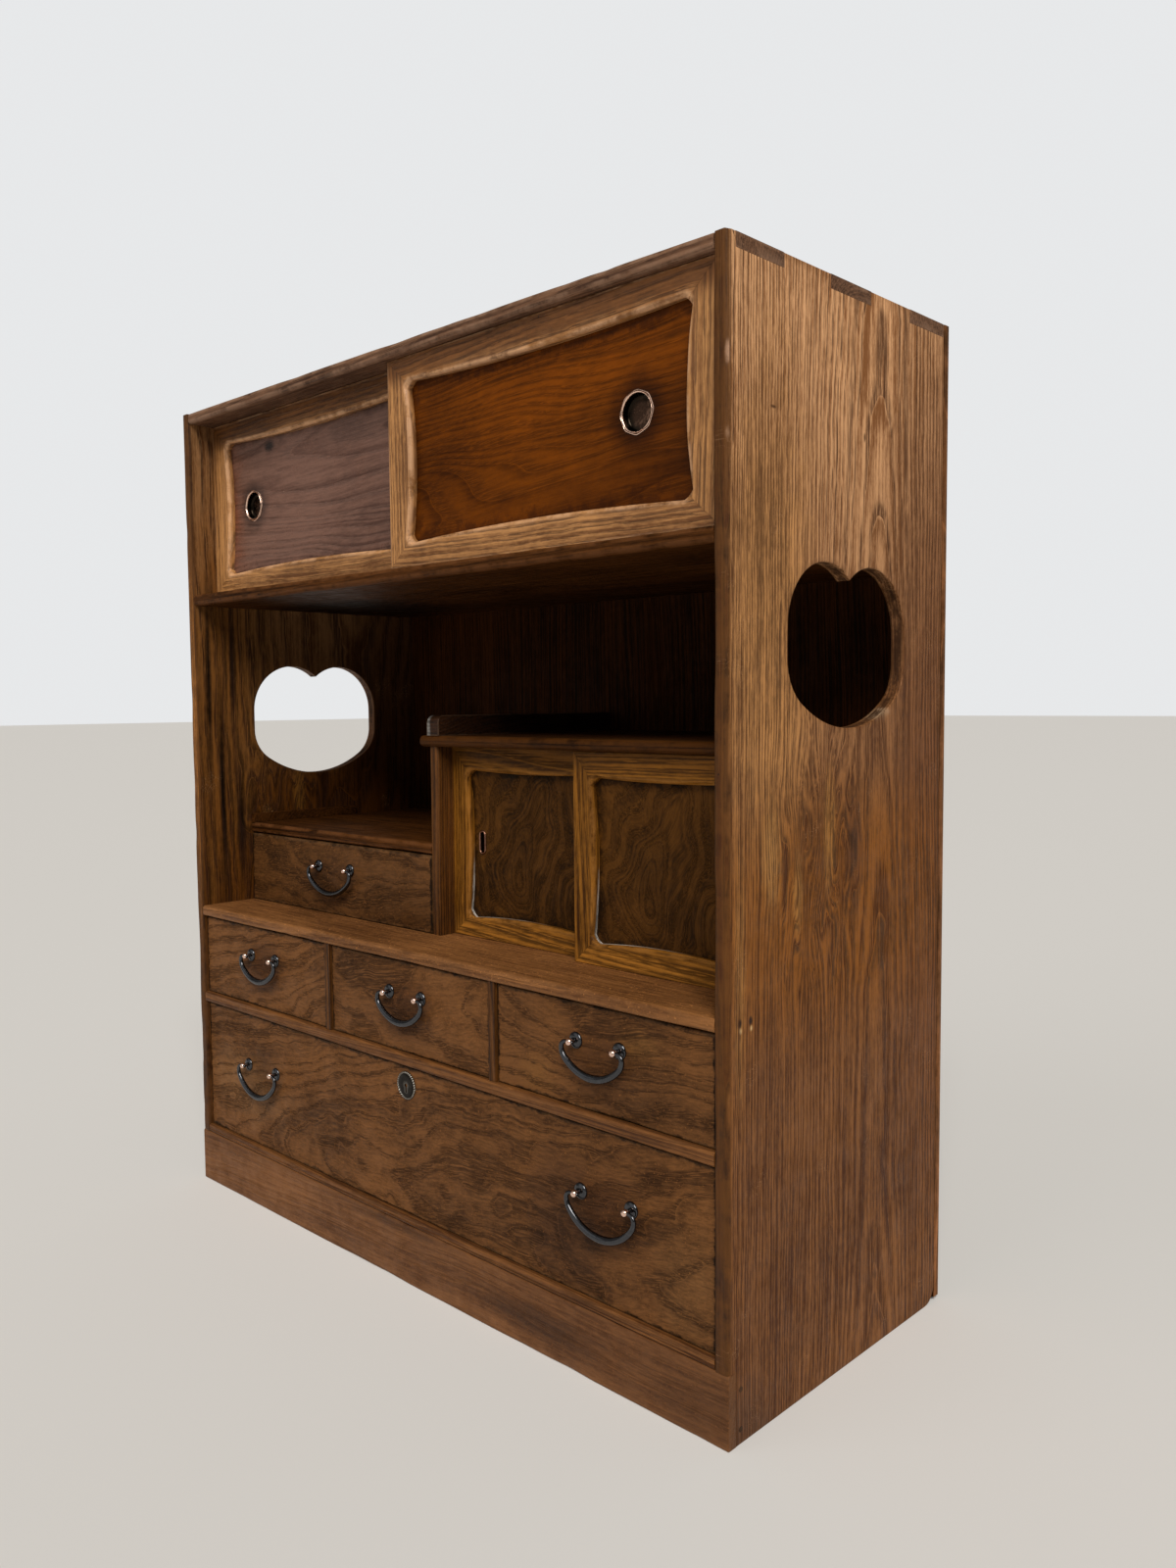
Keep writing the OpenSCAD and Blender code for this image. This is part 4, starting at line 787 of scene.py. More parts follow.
def side_grid(cut_low, x_in, x_out, seed):
    """Rows are rays through points spaced along the board's edge; columns run round the section between the
    hole's edge and the board's edge."""
    middle = np.array([CUT_MID, cut_low + RAY_UP])
    y0, y1, z1 = FRONT, FRONT + SIDE_DEEP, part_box("right_side")[1][2] - SHRINK
    toe_y, toe_z = FRONT + TOE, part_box("plinth")[1][2]
    front = np.stack([np.full(FRONT_ROWS, y0), np.linspace(z1, toe_z, FRONT_ROWS)], 1)
    notch = [[toe_y, toe_z], [toe_y, toe_z / 2], [toe_y, 0.0]]
    sole = np.stack([np.linspace(toe_y, y1 - HEEL_R, 100)[1:-1], np.zeros(98)], 1)
    heel = arc(y1 - HEEL_R, HEEL_R, HEEL_R, -math.pi / 2, 0, 16)
    back = np.stack([np.full(320, y1), np.linspace(HEEL_R, z1, 321)[1:]], 1)
    top_y = np.sort(np.append(np.linspace(y1, y0 + 6 * MM, 120)[1:], CUT_MID))[::-1]
    top = np.stack([top_y, np.full(len(top_y), z1)], 1)
    outer = np.concatenate([front, notch, sole, heel, back, top])
    count = len(outer)
    d = outer - middle
    angles = np.unwrap(np.arctan2(d[:, 1], d[:, 0]))
    inner = along_rays(cut_outline() + [CUT_MID, cut_low], middle, angles % (2 * math.pi))
    n_in = outward_of(inner)
    on_front = np.arange(count) < FRONT_ROWS
    loss = np.zeros((2, count))
    for k in (0, 1):
        loss[k, :FRONT_ROWS] = ragged(FRONT_ROWS, (z1 - toe_z) / FRONT_ROWS, SIDE_WEAR, SIDE_LOSS, SIDE_CHIPS,
                                      seed + k)
    columns = []

    def rim_inset(dh):
        """The hole's edge moved into the wood; beside the cusp it may not cross the middle line."""
        moved = inner + n_in * dh
        off, now = inner[:, 0] - CUT_MID, moved[:, 0] - CUT_MID
        kept = np.sign(off) * np.maximum(np.sign(off) * now, 0.35 * np.abs(off))
        moved[:, 0] = CUT_MID + np.where(np.abs(off) < CUSP_ZONE, kept, now)
        return moved

    def edge_inset(dy, dz):
        """The board's edge moved inwards by dy on its front and by dz elsewhere, the front's ends by less."""
        y = y0 + pushed_in(outer[:, 0] - y0, np.where(outer[:, 0] < y0 + 0.1, dy, 0))
        y = y1 - pushed_in(y1 - y, np.where(on_front, 0, dz))
        z = z1 - pushed_in(z1 - outer[:, 1], np.where(on_front, np.minimum(dz, SMALL_R), dz))
        return np.stack([y, pushed_in(z, np.where(on_front, 0, dz))], 1)

    def column(f, dh, inset, x, wear):
        """Adds the points at share f of the way from the hole's edge to the board's edge."""
        inset = np.broadcast_to(inset, count)
        rest = np.where(on_front, np.minimum(inset, SMALL_R), inset)
        spot = (1 - f) * rim_inset(dh) + f * edge_inset(inset, rest)
        columns.append((np.column_stack([np.broadcast_to(x, count), spot]), wear))

    def over_edge(front_r, other_r, gone, x, way, angles, wear):
        arris = np.where(on_front, front_r, other_r)
        for a in angles:
            lost = gone * (0.3 + 0.7 * math.sin(2 * a))
            column(1, 0.0, arris * (1 - math.cos(a)) + lost, x - way * (arris * (1 - math.sin(a)) + lost), wear)

    def over_rim(x, way, angles):
        for a in angles:
            column(0, RIM_R * (1 - math.cos(a)), 0.0, x - way * RIM_R * (1 - math.sin(a)), 0.4)

    def over_face(x, shares):
        for f in shares:
            column(f, 0.0 if f == 1 else RIM_FLAT, 0.0 if f == 0 else EDGE_FLAT, x, 0.0)

    quarter, across = np.linspace(0, math.pi / 2, 6), (0, 0.25, 0.5, 0.75, 1)
    side = np.sign(x_out - x_in)
    for share in (0.3, 0.7):
        column(0, 0.0, 0.0, x_in + (x_out - x_in) * share, 0.0)
    over_rim(x_out, side, quarter)
    over_face(x_out, across)
    over_edge(FRONT_R, SMALL_R, loss[0], x_out, side, quarter[::-1], 1.0)
    over_edge(FRONT_INNER_R, INNER_SMALL_R, loss[1] * 0.6, x_in, -side, quarter, 0.8)
    over_face(x_in, across[::-1])
    over_rim(x_in, -side, quarter[::-1])
    grid = np.stack([points for points, _ in columns], 1)
    wear = np.broadcast_to([worn for _, worn in columns], grid.shape[:2])
    # hollow marks the two columns on the cut-out's wall, where the side wood paints shade.
    in_cut = np.broadcast_to(np.arange(len(columns)) < 2, grid.shape[:2])
    return grid, True, True, False, {"wear": wear[..., None], "hollow": in_cut[..., None]}


print("rows along the front edge of a side board:", FRONT_ROWS)

# %% [markdown]
# ## Side boards
# Both boards come from the one function with the sides exchanged. Only the height of the cut-out differs: the
# right one is low over the cupboard's top, the left one higher above the step shelf.

# %% Side boards
SIDE_THICK = 15 * MM
IN_X, OUT_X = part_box("plinth_blocks")[1][0] - SIDE_THICK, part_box("right_side")[1][0]
RIGHT_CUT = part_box("cupboard_top")[1][2] + 10.5 * MM
LEFT_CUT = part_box("step_shelf")[1][2] + 63 * MM
for name, way, cut_low, seed in (("right", 1, RIGHT_CUT, 11), ("left", -1, LEFT_CUT, 31)):
    grid = side_grid(cut_low, way * IN_X, way * (OUT_X - SHRINK), seed)
    build(f"{name}_side_board", [grid], side_wood, "carcass", [f"{name}_side"])

# %% [markdown]
# ## Top, shelves, counter and plinth
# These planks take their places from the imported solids. The top's three fingers at each end show on the sides
# as dark end grain, a hair proud of the side board, as old joints stand when the wood has shrunk.

# %% Planks
PIN_AT, PIN_WIDE, PIN_PITCH, PIN_IN = 10.5, 67, 137, 4 * MM


def span_of(node):
    """The node's low and high corner as arrays that can be cut and added to."""
    low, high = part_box(node)
    return np.array(low), np.array(high)


top_low, top_high = span_of("top_board")
pins = [plank(*ends, (FRONT + (PIN_AT + PIN_PITCH * i) * MM, top_low[2] + 0.1 * MM),
              (FRONT + (PIN_AT + PIN_WIDE + PIN_PITCH * i) * MM, top_high[2] - 0.08 * MM),
              [0.5] * 4, end=0.4, step=2, loss=[0.1] * 4, seed=50 + i)
        for ends in ((-OUT_X, PIN_IN - IN_X), (IN_X - PIN_IN, OUT_X)) for i in range(3)]
for node, name, material, slot, radii, loss, chips, seed in (
        ("top_board", "top", top_wood, "shelf_wood", (4.2, 0.8, 0.8, 3.4), (0.3, 0, 0, 0.3), 5, 2),
        ("upper_shelf", "upper_shelf", shelf_wood, "shelf_wood", (5.0, 0.5, 0.5, 3.5), (0.4, 0, 0, 0.3), 6, 3),
        ("counter_board", "counter", counter_wood, "counter_wood", (2.2, 0.5, 0.5, 3.4), (0.25, 0, 0, 0.4), 8, 4),
        ("cupboard_top", "cupboard_top", cap_wood, "counter_wood", (5.2, 0.6, 0.6, 5.2), (0.2, 0, 0, 0.25), 4, 5),
        ("step_shelf", "step_shelf", shelf_wood, "shelf_wood", (2.5, 0.5, 0.5, 3.0), (0.3, 0, 0, 0.4), 4, 6),
        ("plinth", "plinth", plinth_wood, "rail_wood", (1.6, 0.5, 0.5, 2.2), (0.3, 0.1, 0.1, 0.3), 8, 7)):
    low, high = span_of(node)
    x0, x1 = (low[0], high[0]) if node == "plinth" else (max(low[0], -IN_X), min(high[0], IN_X))
    parts = [plank(x0, x1, low[1:], high[1:], radii, loss=loss, chips=chips, seed=seed)]
    parts += pins if node == "top_board" else []
    build(name + "_plank", parts, material, "carcass", [node])

# %% [markdown]
# ## Members of a door frame
# Each frame is four mitred members. The outer edge is straight, the inner edge swells towards the middle and
# runs into a rounded corner, and its front arris is rubbed round. A member's width at a point is the larger of
# the swell, an arc of a wide circle, and the corner's quarter circle; the section is carried along it, and both
# ends are cut on the mitre line that runs from the frame's corner through the opening's corner.

# %% Door frame members
CORNER, INNER_R, OUTER_R, MITRE_GAP = (v * MM for v in (16, 2.8, 0.7, 0.12))
CORNER_ROWS, MIDDLE_ROWS, FRAME_WEAR, FRAME_LOSS, FRAME_CHIPS = 14, 70, 12 * MM, 0.5 * MM, 5


def member(length, width, swell, near, far, sink, thick, seed):
    """Rows run along the member, columns round its section. near and far are the widths of the neighbours.
    At distance w from the outer edge a row lies at share t of the way between both mitre lines."""
    k0, k1 = near / width, far / width
    left, right = near, length - far
    chord = right - left

    def mitre_start(side):
        """Where the corner arc crosses the mitre line: the smaller root for the scale of (side, width)."""
        p = np.array([side, width])
        c = p + CORNER
        aa, bb, cc = p @ p, -2 * (p @ c), c @ c - CORNER ** 2
        return (-bb - math.sqrt(bb * bb - 4 * aa * cc)) / (2 * aa) * side

    u0, u1 = mitre_start(near), length - mitre_start(far)
    rows = np.concatenate([np.linspace(u0, left + CORNER, CORNER_ROWS)[:-1],
                           np.linspace(left + CORNER, right - CORNER, MIDDLE_ROWS),
                           np.linspace(right - CORNER, u1, CORNER_ROWS)[1:]])
    v = np.clip(rows - left, 0, chord)
    radius = (chord ** 2 / 4 + swell ** 2) / (2 * swell)
    bow = np.sqrt(np.maximum(radius ** 2 - (v - chord / 2) ** 2, 0)) - (radius - swell)
    edge = np.minimum(v, chord - v)
    arc = CORNER - np.sqrt(np.maximum(CORNER ** 2 - np.maximum(CORNER - edge, 0) ** 2, 0))
    wide = width + np.maximum(bow, arc)
    t = (rows - wide * k0) / (length - wide * (k0 + k1))
    t[0], t[-1] = 0.0, 1.0
    gone = ragged(len(rows), chord / len(rows), FRAME_WEAR, FRAME_LOSS, FRAME_CHIPS, seed)
    quarter = np.linspace(0, math.pi / 2, 6)
    columns = []

    def column(w, y, share):
        columns.append([np.broadcast_to(value, len(rows)) for value in (w, y, share)])

    column(wide, sink + 1.0 * MM, 0.0)
    column(wide, (INNER_R + sink) / 2, 0.15)
    for a in quarter:
        loss = gone * math.sin(2 * a)
        column(wide - INNER_R * (1 - math.cos(a)) - loss * 0.6, INNER_R * (1 - math.sin(a)) + loss * 0.4, 1.0)
    column(wide - INNER_R - 2.5 * MM, 0.0, 0.1)
    column(wide * 0.5, 0.0, 0.0)
    column(OUTER_R + 2.0 * MM, 0.0, 0.0)
    for a in quarter[::-1]:
        column(OUTER_R * (1 - math.cos(a)), OUTER_R * (1 - math.sin(a)), 0.6)
    for a in quarter:
        column(OUTER_R * (1 - math.cos(a)), thick - OUTER_R * (1 - math.sin(a)), 0.6)
    column(wide * 0.5, thick, 0.0)
    for a in quarter[::-1]:
        column(wide - OUTER_R * (1 - math.cos(a)), thick - OUTER_R * (1 - math.sin(a)), 0.6)
    w, y, wear = np.stack(columns, 2)
    u = (1 - t)[:, None] * (w * k0) + t[:, None] * (length - w * k1)
    u = np.clip(u, w * k0 + MITRE_GAP, length - w * k1 - MITRE_GAP)
    place = np.stack([w, y, u], 2) + np.random.default_rng(seed).uniform(-3, 3, 3)
    return u, w, y, {"grain": place, "wear": wear[..., None]}


print("each member of a frame has", CORNER_ROWS * 2 + MIDDLE_ROWS - 2, "rows of points")

# %% [markdown]
# ## Door frames
# A frame slides on a thin tongue below and another above. Cut from one mesh its corners would blend, so the
# four members stay closed surfaces of their own, and the hair's gap between them is the line of the mitre.

# %% Door frames
TONGUE, TONGUE_HALF, TONGUE_IN, TONGUE_LAP = (v * MM for v in (2.5, 3, 0.2, 2))


def door_frame(node, body, material, sizes, seed):
    """Two rails and two stiles round the opening, with the running tongues, in the node's box. sizes in
    millimetres: thickness, depth of the panel, widths of stile, low and high rail, and their swells."""
    thick, sink, stile, rail_low, rail_high, swell, swell_low, swell_high = (v * MM for v in sizes)
    low, high = span_of(node)
    x0, x1, z0, z1 = low[0], high[0], low[2] + TONGUE, high[2] - TONGUE
    w, h = x1 - x0, z1 - z0
    parts = []
    for k, (length, width, bulge, near, far) in enumerate((
            (w, rail_low, swell_low, stile, stile), (w, rail_high, swell_high, stile, stile),
            (h, stile, swell, rail_low, rail_high), (h, stile, swell, rail_low, rail_high))):
        u, across, y, values = member(length, width, bulge, near, far, sink, thick, seed * 10 + k)
        x, z = ((x0 + u, z0 + across), (x0 + u, z1 - across), (x0 + across, z0 + u), (x1 - across, z0 + u))[k]
        parts.append((np.stack([x, low[1] + y, z], 2), False, True, True, values))
    middle = low[1] + thick / 2
    for a, b in ((low[2], z0 + TONGUE_LAP), (z1 - TONGUE_LAP, high[2])):
        grid, *closing, values = plank(x0 + TONGUE_IN, x1 - TONGUE_IN, (middle - TONGUE_HALF, a),
                                       (middle + TONGUE_HALF, b), [0.5] * 4, step=20)
        parts.append((grid, *closing, {**values, "grain": grid[..., [1, 2, 0]]}))
    build(node + "_members", parts, material, body, [node], smooth=50)


# %% [markdown]
# ## Frames of the four doors
# The upper frames are amber and rubbed pale along their edges, the small ones browner with close rings. The
# grain has to follow each member, so a member carries its own place in the wood as an attribute instead of
# taking it from the room.

# %% Frames of the four doors
UPPER_SIZES, SMALL_SIZES = (20, 8.5, 28.5, 24.5, 24.5, 8, 6, 6), (14, 8, 22, 20, 25, 6, 6, 3)
frame_wood = wood(
    "door_frame_wood", (196, 140, 84), (106, 64, 28), (52, 28, 10), heart=(0.03, 0.02), lean=(0.03, 0.02),
    spacing=0.0052, wander=0.016, swirl=0.005, early=0.5, lines=0.45, pores=0.8, clouds=0.5, mottle=0.8,
    rubbed=(226, 176, 132), worn_share=0.6, gloss=(0.3, 0.5), sheen=0.3, source="grain",
    # The mark darkens the top rails of the upper frames: painted shadow of the top board's nose.
    marks=[((0.0, 0.0, 0.985), 0.012, 0.034, (108, 58, 12), 0.8, (0, 0, 1))])
# Painted glints: a pale band on each small opening's inner wall next to the panel, towards its lower left.
lip_glints = []
for side in ("right", "left"):
    low, high = span_of(f"small_{side}_frame")
    glint_spot = (low[0] + 0.03, low[1] + 0.0066, low[2] + 0.028)
    lip_glints.append((glint_spot, 0.0004, 0.0026, (214, 214, 208), 0.9, (0.02, 1, 0.03)))
small_frame_wood = wood(
    "small_frame_wood", (146, 94, 30), (60, 32, 5), (28, 13, 3), heart=(0.02, 0.03), lean=(0.03, 0.01),
    spacing=0.0042, wander=0.008, early=0.4, lines=0.7, fibres=0.6, pores=0.8, rubbed=(156, 104, 46),
    worn_share=0.5, gloss=(0.34, 0.54), sheen=0.08, source="grain",
    # Besides the painted glints, the marks darken the top rails as painted shade under the cupboard top, and lighten
    # the low rails.
    marks=lip_glints + [((0.0, 0.0, high[2]), 0.012, 0.03, (108, 66, 20), 0.75, (0, 0, 1)),
                  ((0.0, 0.0, low[2]), 0.012, 0.03, (188, 124, 48), 0.65, (0, 0, 1))])
for door, material, sizes, seed in (
        ("upper_right", frame_wood, UPPER_SIZES, 3), ("small_right", small_frame_wood, SMALL_SIZES, 7),
        ("upper_left", frame_wood, UPPER_SIZES, 4), ("small_left", small_frame_wood, SMALL_SIZES, 8)):
    door_frame(door + "_frame", door + "_door", material, sizes, seed)

# %% [markdown]
# ## Turned shapes
# The pulls and the handles' posts were turned or cast round, so each is a profile carried round a middle. A
# round pull has a slightly eight-sided rim, and the slim ones are the same kind of shape stretched along a line.

# %% Turned shapes


def turned(profile, centre, stretch=0.0, sides=96, facets=0.0):
    """Point = centre + radius * direction + stretch up or down: a lathe whose middle is pulled into a line.
    profile lists radius and y in millimetres, then the shares of facet, wear and hollow; y counts from the
    face, minus is proud."""
    radius, y, faceted, wear, hollow = (np.array(profile, float) * [MM, MM, 1, 1, 1]).T[..., None]
    angle = np.linspace(0, 2 * math.pi, sides, endpoint=False)
    ripple = np.abs(np.cos(4 * angle)) ** 3
    radius = radius * (1 - facets * faceted * (1 - ripple))
    x = centre[0] + radius * np.cos(angle)
    z = centre[2] + radius * np.sin(angle) + np.where(np.sin(angle) >= 0, stretch, -stretch)
    y = centre[1] + np.broadcast_to(y, radius.shape)
    return np.stack([x, y, z], 2), False, True, True, {"wear": wear[..., None], "hollow": hollow[..., None]}


# %% [markdown]
# ## Metals
# The iron is dark and smooth, the bronze of the round pulls is rubbed bright on its rim, and the slim pulls are
# dull copper. A picture of old metal would be too coarse this near. Two sizes of noise make the film, and the
# shape's own wear attribute says where hands have polished it.

# %% Metals
FINE_SCALE, BROAD_SCALE, DARK_FILM = 900.0, 170.0, 0.5


def metal(name, base, rubbed, rough, speckle, lift=0.0003, touched=None, hollow=None):
    """Dark metal: a mottled film over the base tone, rubbed bright where the noise says. touched is the tone of
    the surface's own wear attribute, hollow the tone of its hollow attribute."""
    material, tree, shader = blank_material(name)
    r = Recipe(tree)
    place = r.new("TexCoord", {}).outputs["Object"]
    fine, broad = r.noise(place, FINE_SCALE, 4.0, 0.7), r.noise(place, BROAD_SCALE, 4.0, 0.65)
    colour = r.mix(r.span(broad, 0.5, 0.72, 0.0, speckle), srgb(*base), srgb(*rubbed))
    colour = r.mix(r.span(fine, 0.35, 0.7, 0.0, 0.35), colour, srgb(*[v * DARK_FILM for v in base]))
    if touched:
        share = r.times(r.attribute("wear"), r.span(broad, 0.25, 0.5, 0.5, 1.0))
        colour = r.mix(share, colour, srgb(*touched))
    if hollow:
        colour = r.mix(r.attribute("hollow"), colour, srgb(*hollow))
    tree.links.new(colour, shader.inputs["Base Color"])
    tree.links.new(r.span(broad, 0.3, 0.7, *rough), shader.inputs["Roughness"])
    bump = r.new("Bump", {"Height": r.blend(broad, (fine, 0.4)), "Strength": 0.35, "Distance": lift})
    tree.links.new(bump.outputs[0], shader.inputs["Normal"])
    shader.inputs["Metallic"].default_value = 1.0
    return material


IRON_LOOK = ((80, 81, 84), (128, 130, 134), (0.15, 0.26), 0.15, 0.00003)
iron = metal("worn_iron", *IRON_LOOK)
post_iron = metal("post_iron", *IRON_LOOK, touched=(240, 204, 184))
bronze = metal("dark_bronze", (84, 60, 46), (206, 158, 128), (0.16, 0.32), 0.6, touched=(255, 216, 192),
               hollow=(34, 28, 22))
copper = metal("dull_copper", (90, 56, 42), (150, 106, 84), (0.28, 0.45), 0.5, touched=(160, 118, 98),
               hollow=(44, 28, 20))
steel = metal("bolt_steel", (150, 150, 152), (200, 200, 202), (0.3, 0.5), 0.5)
print("metals:", *[made.name for made in (iron, post_iron, bronze, copper, steel)])

# %% [markdown]
# ## Pulls
# The upper doors have round cups and the small doors slim upright ones, all let into the wood with a raised
# rim. A profile as a list of radius and depth shows its hollow and its rim at a glance, and the same list says
# where the metal is rubbed and where it is dark inside.

# %% Round and slim pulls
# A profile starts and ends on a tiny ring instead of the axis, which keeps the mesh clean there.
ROUND_PULL = [(0.02, 7.0, 0, 0, 0.3), (9.0, 7.1, 0, 0, 0.4), (13.0, 7.0, 0, 0, 0.9), (14.8, 6.4, 0, 0, 1),
              (15.9, 5.0, 0, 0, 1), (16.1, 2.0, 0, 0, 1), (16.2, 0.4, 0, 0, 0.6), (16.5, -0.8, 0, 1, 0),
              (16.9, -1.3, 0, 1, 0), (17.4, -1.4, 0.1, 1, 0), (17.8, -1.0, 0.3, 0.7, 0), (18.1, -0.5, 0.6, 0, 0.7),
              (18.5, -0.6, 0.8, 0.3, 0.2), (18.9, -1.0, 1, 0.9, 0), (19.4, -0.8, 1, 0.9, 0), (19.7, -0.2, 1, 0.5, 0),
              (19.65, 0.0, 1, 0, 0), (17.05, 0.0, 0, 0, 1), (17.0, 7.4, 0, 0, 1), (16.4, 8.0, 0, 0, 1),
              (0.02, 8.0, 0, 0, 1)]
SLIM_PULL = [(0.02, 4.7, 0, 0, 1), (2.6, 4.7, 0, 0, 1), (3.3, 4.0, 0, 0, 1), (3.4, 1.0, 0, 0, 0.8),
             (3.5, -0.6, 0, 0.6, 0), (3.9, -1.2, 0, 1, 0), (4.5, -1.4, 0, 1, 0), (5.1, -1.0, 0, 0.6, 0),
             (5.5, -0.2, 0, 0, 0.3), (5.5, 0.0, 0, 0, 1), (4.2, 0.0, 0, 0, 1), (4.2, 5.0, 0, 0, 1),
             (3.8, 5.5, 0, 0, 1), (0.02, 5.5, 0, 0, 1)]

pull_at = {}
for side in ("right", "left"):
    for kind, profile, stretch, finish, slot, face, facets in (
            ("upper", ROUND_PULL, 0.0, bronze, "dark_bronze", 8.5, 0.04),
            ("small", SLIM_PULL, 8.0 * MM, copper, "copper", 8.0, 0.0)):
        node = f"{kind}_{side}_pull"
        low, high = span_of(node)
        centre = ((low[0] + high[0]) / 2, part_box(f"{kind}_{side}_frame")[0][1] + face * MM, (low[2] + high[2]) / 2)
        build(node + "_cup", [turned(profile, centre, stretch, facets=facets)], finish, f"{kind}_{side}_door",
              [node], smooth=40)
        pull_at[kind, side] = centre
print("pull centres:", {key: tuple(round(float(c), 4) for c in centre) for key, centre in pull_at.items()})

# %% [markdown]
# ## Shape of a handle
# A handle is a bar bent in one plane, thick in the bow and thin where it passes the eyes. A bevelled curve would
# have one thickness or need points set by hand. A ring of points carried along arcs takes its thickness from
# the way along the bar.

# %% Shape of a handle
BAR_R, BOW_R, TIP_R, CURL_R, BALL_R, ARM_OUT = (v * MM for v in (3.2, 4.0, 1.7, 6, 3.6, 10.5))
BEND, FLATTENED = 0.42, 0.88


def bail_path(spacing, drop):
    """Half of the handle's centre line: from inside the eye outwards, round the curl, down the arm's bend and
    along the bow to the lowest point, each an arc that meets the next without a kink."""
    eye, wide, low = spacing / 2, spacing / 2 + ARM_OUT, drop - BAR_R
    side_r = BEND * low
    dx, dz = wide - side_r, low - CURL_R
    bow_r = (dx * dx + dz * dz - side_r * side_r) / (2 * (dz - side_r))
    turn = math.atan2(dx, bow_r - dz)
    straight = np.stack([np.linspace(eye - BALL_R - 1 * MM, wide - CURL_R, 10), np.zeros(10)], 1)
    curl = arc(wide - CURL_R, -CURL_R, CURL_R, math.pi / 2, 0, 14)
    arm = arc(dx, -CURL_R, side_r, 0, turn - math.pi / 2, 30)
    a = np.linspace(turn, 0, 40)
    bow = np.stack([bow_r * np.sin(a), bow_r - low - bow_r * np.cos(a)], 1)
    return np.concatenate([straight, curl[1:], arm[1:], bow[1:]])


def bail_grid(spacing, drop, x, y, z):
    """Ring of 20 points round the centre line, an oval a little flatter from front to back; its radius eases
    from the tip's to the bow's along the arm."""
    half = bail_path(spacing, drop)
    line = np.concatenate([half, (half * [-1, 1])[::-1][1:]])
    run = np.concatenate([[0], np.cumsum(np.linalg.norm(np.diff(line, axis=0), axis=1))])
    share = np.minimum(run, run[-1] - run) / (run[-1] / 2)
    radius = np.interp(share, [0.0, 0.14, 0.24, 0.5, 1.0], [TIP_R, TIP_R, 2.4 * MM, 3.3 * MM, BOW_R])
    radius[[0, -1]] *= 0.6
    ahead = np.gradient(line, axis=0)
    ahead /= np.linalg.norm(ahead, axis=1)[:, None]
    angle = np.linspace(0, 2 * math.pi, 20, endpoint=False)
    r = radius[:, None]
    px = line[:, 0][:, None] + r * np.cos(angle) * -ahead[:, 1][:, None]
    pz = line[:, 1][:, None] + r * np.cos(angle) * ahead[:, 0][:, None]
    return np.stack([x + px, y + FLATTENED * r * np.sin(angle), z + pz], 2), False, True, True, {}


print("half of a handle's line:", len(bail_path(55 * MM, 32 * MM)), "points")

# %% [markdown]
# ## Shape of a post
# A post has a polished ball at the handle's axis, a stem, a domed rosette on the drawer's face and a washer
# inside. All of it is round, so one profile is enough.

# %% Shape of a post
STEM_R, ROSETTE_R, ROSETTE_H, WASHER_R, WASHER_T, FRONT_T = 2, 8, 3.2, 6, 1.2, 18
BAIL_OUT = 9 * MM


def post_profile():
    """Radius against y in millimetres from the front backwards: polished ball at the handle's axis, stem,
    domed rosette, shank and washer."""
    ball_r, out = BALL_R / MM, BAIL_OUT / MM
    ball = [(ball_r * math.sin(a), -out - ball_r * math.cos(a), 0, 1.0 if a < 2.2 else 0.2, 0)
            for a in np.linspace(0.01, 2.6, 22)]
    dome = [(STEM_R + (ROSETTE_R - STEM_R) * math.sin(a), -ROSETTE_H * math.cos(a) ** 0.8, 0, 0, 0)
            for a in np.linspace(0.05, math.pi / 2 - 0.05, 14)]
    rest = [(radius, y, 0, 0, 0) for radius, y in (
        (ROSETTE_R, 0.0), (STEM_R, 0.01), (STEM_R, FRONT_T - 0.01), (WASHER_R, FRONT_T),
        (WASHER_R, FRONT_T + WASHER_T), (0.02, FRONT_T + WASHER_T))]
    return ball + dome + rest


print("a post's profile has", len(post_profile()), "rings")

# %% [markdown]
# ## Drop handles
# Six handles hang in three sizes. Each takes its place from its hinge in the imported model, so that it swings
# about its own eyes.

# %% Drop handles
HANDLES = {"small": (67, 34.6), "wide": (63, 36.8)}
COMMON_HANDLE = (54.6, 32)
eyes = {}
for joint in frame["joints"]:
    if joint["type"] != "hinge":
        continue
    x, y, z = joint["pos_m"]
    body = joint["child"]
    node, drawer = body.replace("_handle", ""), body.split("_")[0]
    spacing, drop = (v * MM for v in HANDLES.get(drawer, COMMON_HANDLE))
    build(node + "_bar", [bail_grid(spacing, drop, x, y, z)], iron, body, [node], smooth=60)
    eyes.setdefault(drawer, []).extend([(x + k * spacing / 2, y + BAIL_OUT, z) for k in (-1, 1)])
for drawer, places in eyes.items():
    build(f"{drawer}_drawer_rosettes", [turned(post_profile(), place, sides=40) for place in places], post_iron,
          f"{drawer}_drawer", [f"{drawer}_drawer_posts"], smooth=50)

# %% [markdown]
# ## Key plate
# A round dark plate with a keyhole, and a rim of small pearls that catch the light. The pearls are one turned
# surface whose rim radius and height ripple round the edge, so they stay one clean mesh.

# %% Key plate
PEARLS, PEARL_R, PEARL_H = 34, 0.3 * MM, 0.8 * MM
KEY_R, KEY_SLOT, KEY_LONG, PLATE_R = 2.2 * MM, 1.1 * MM, 5.8 * MM, 12 * MM


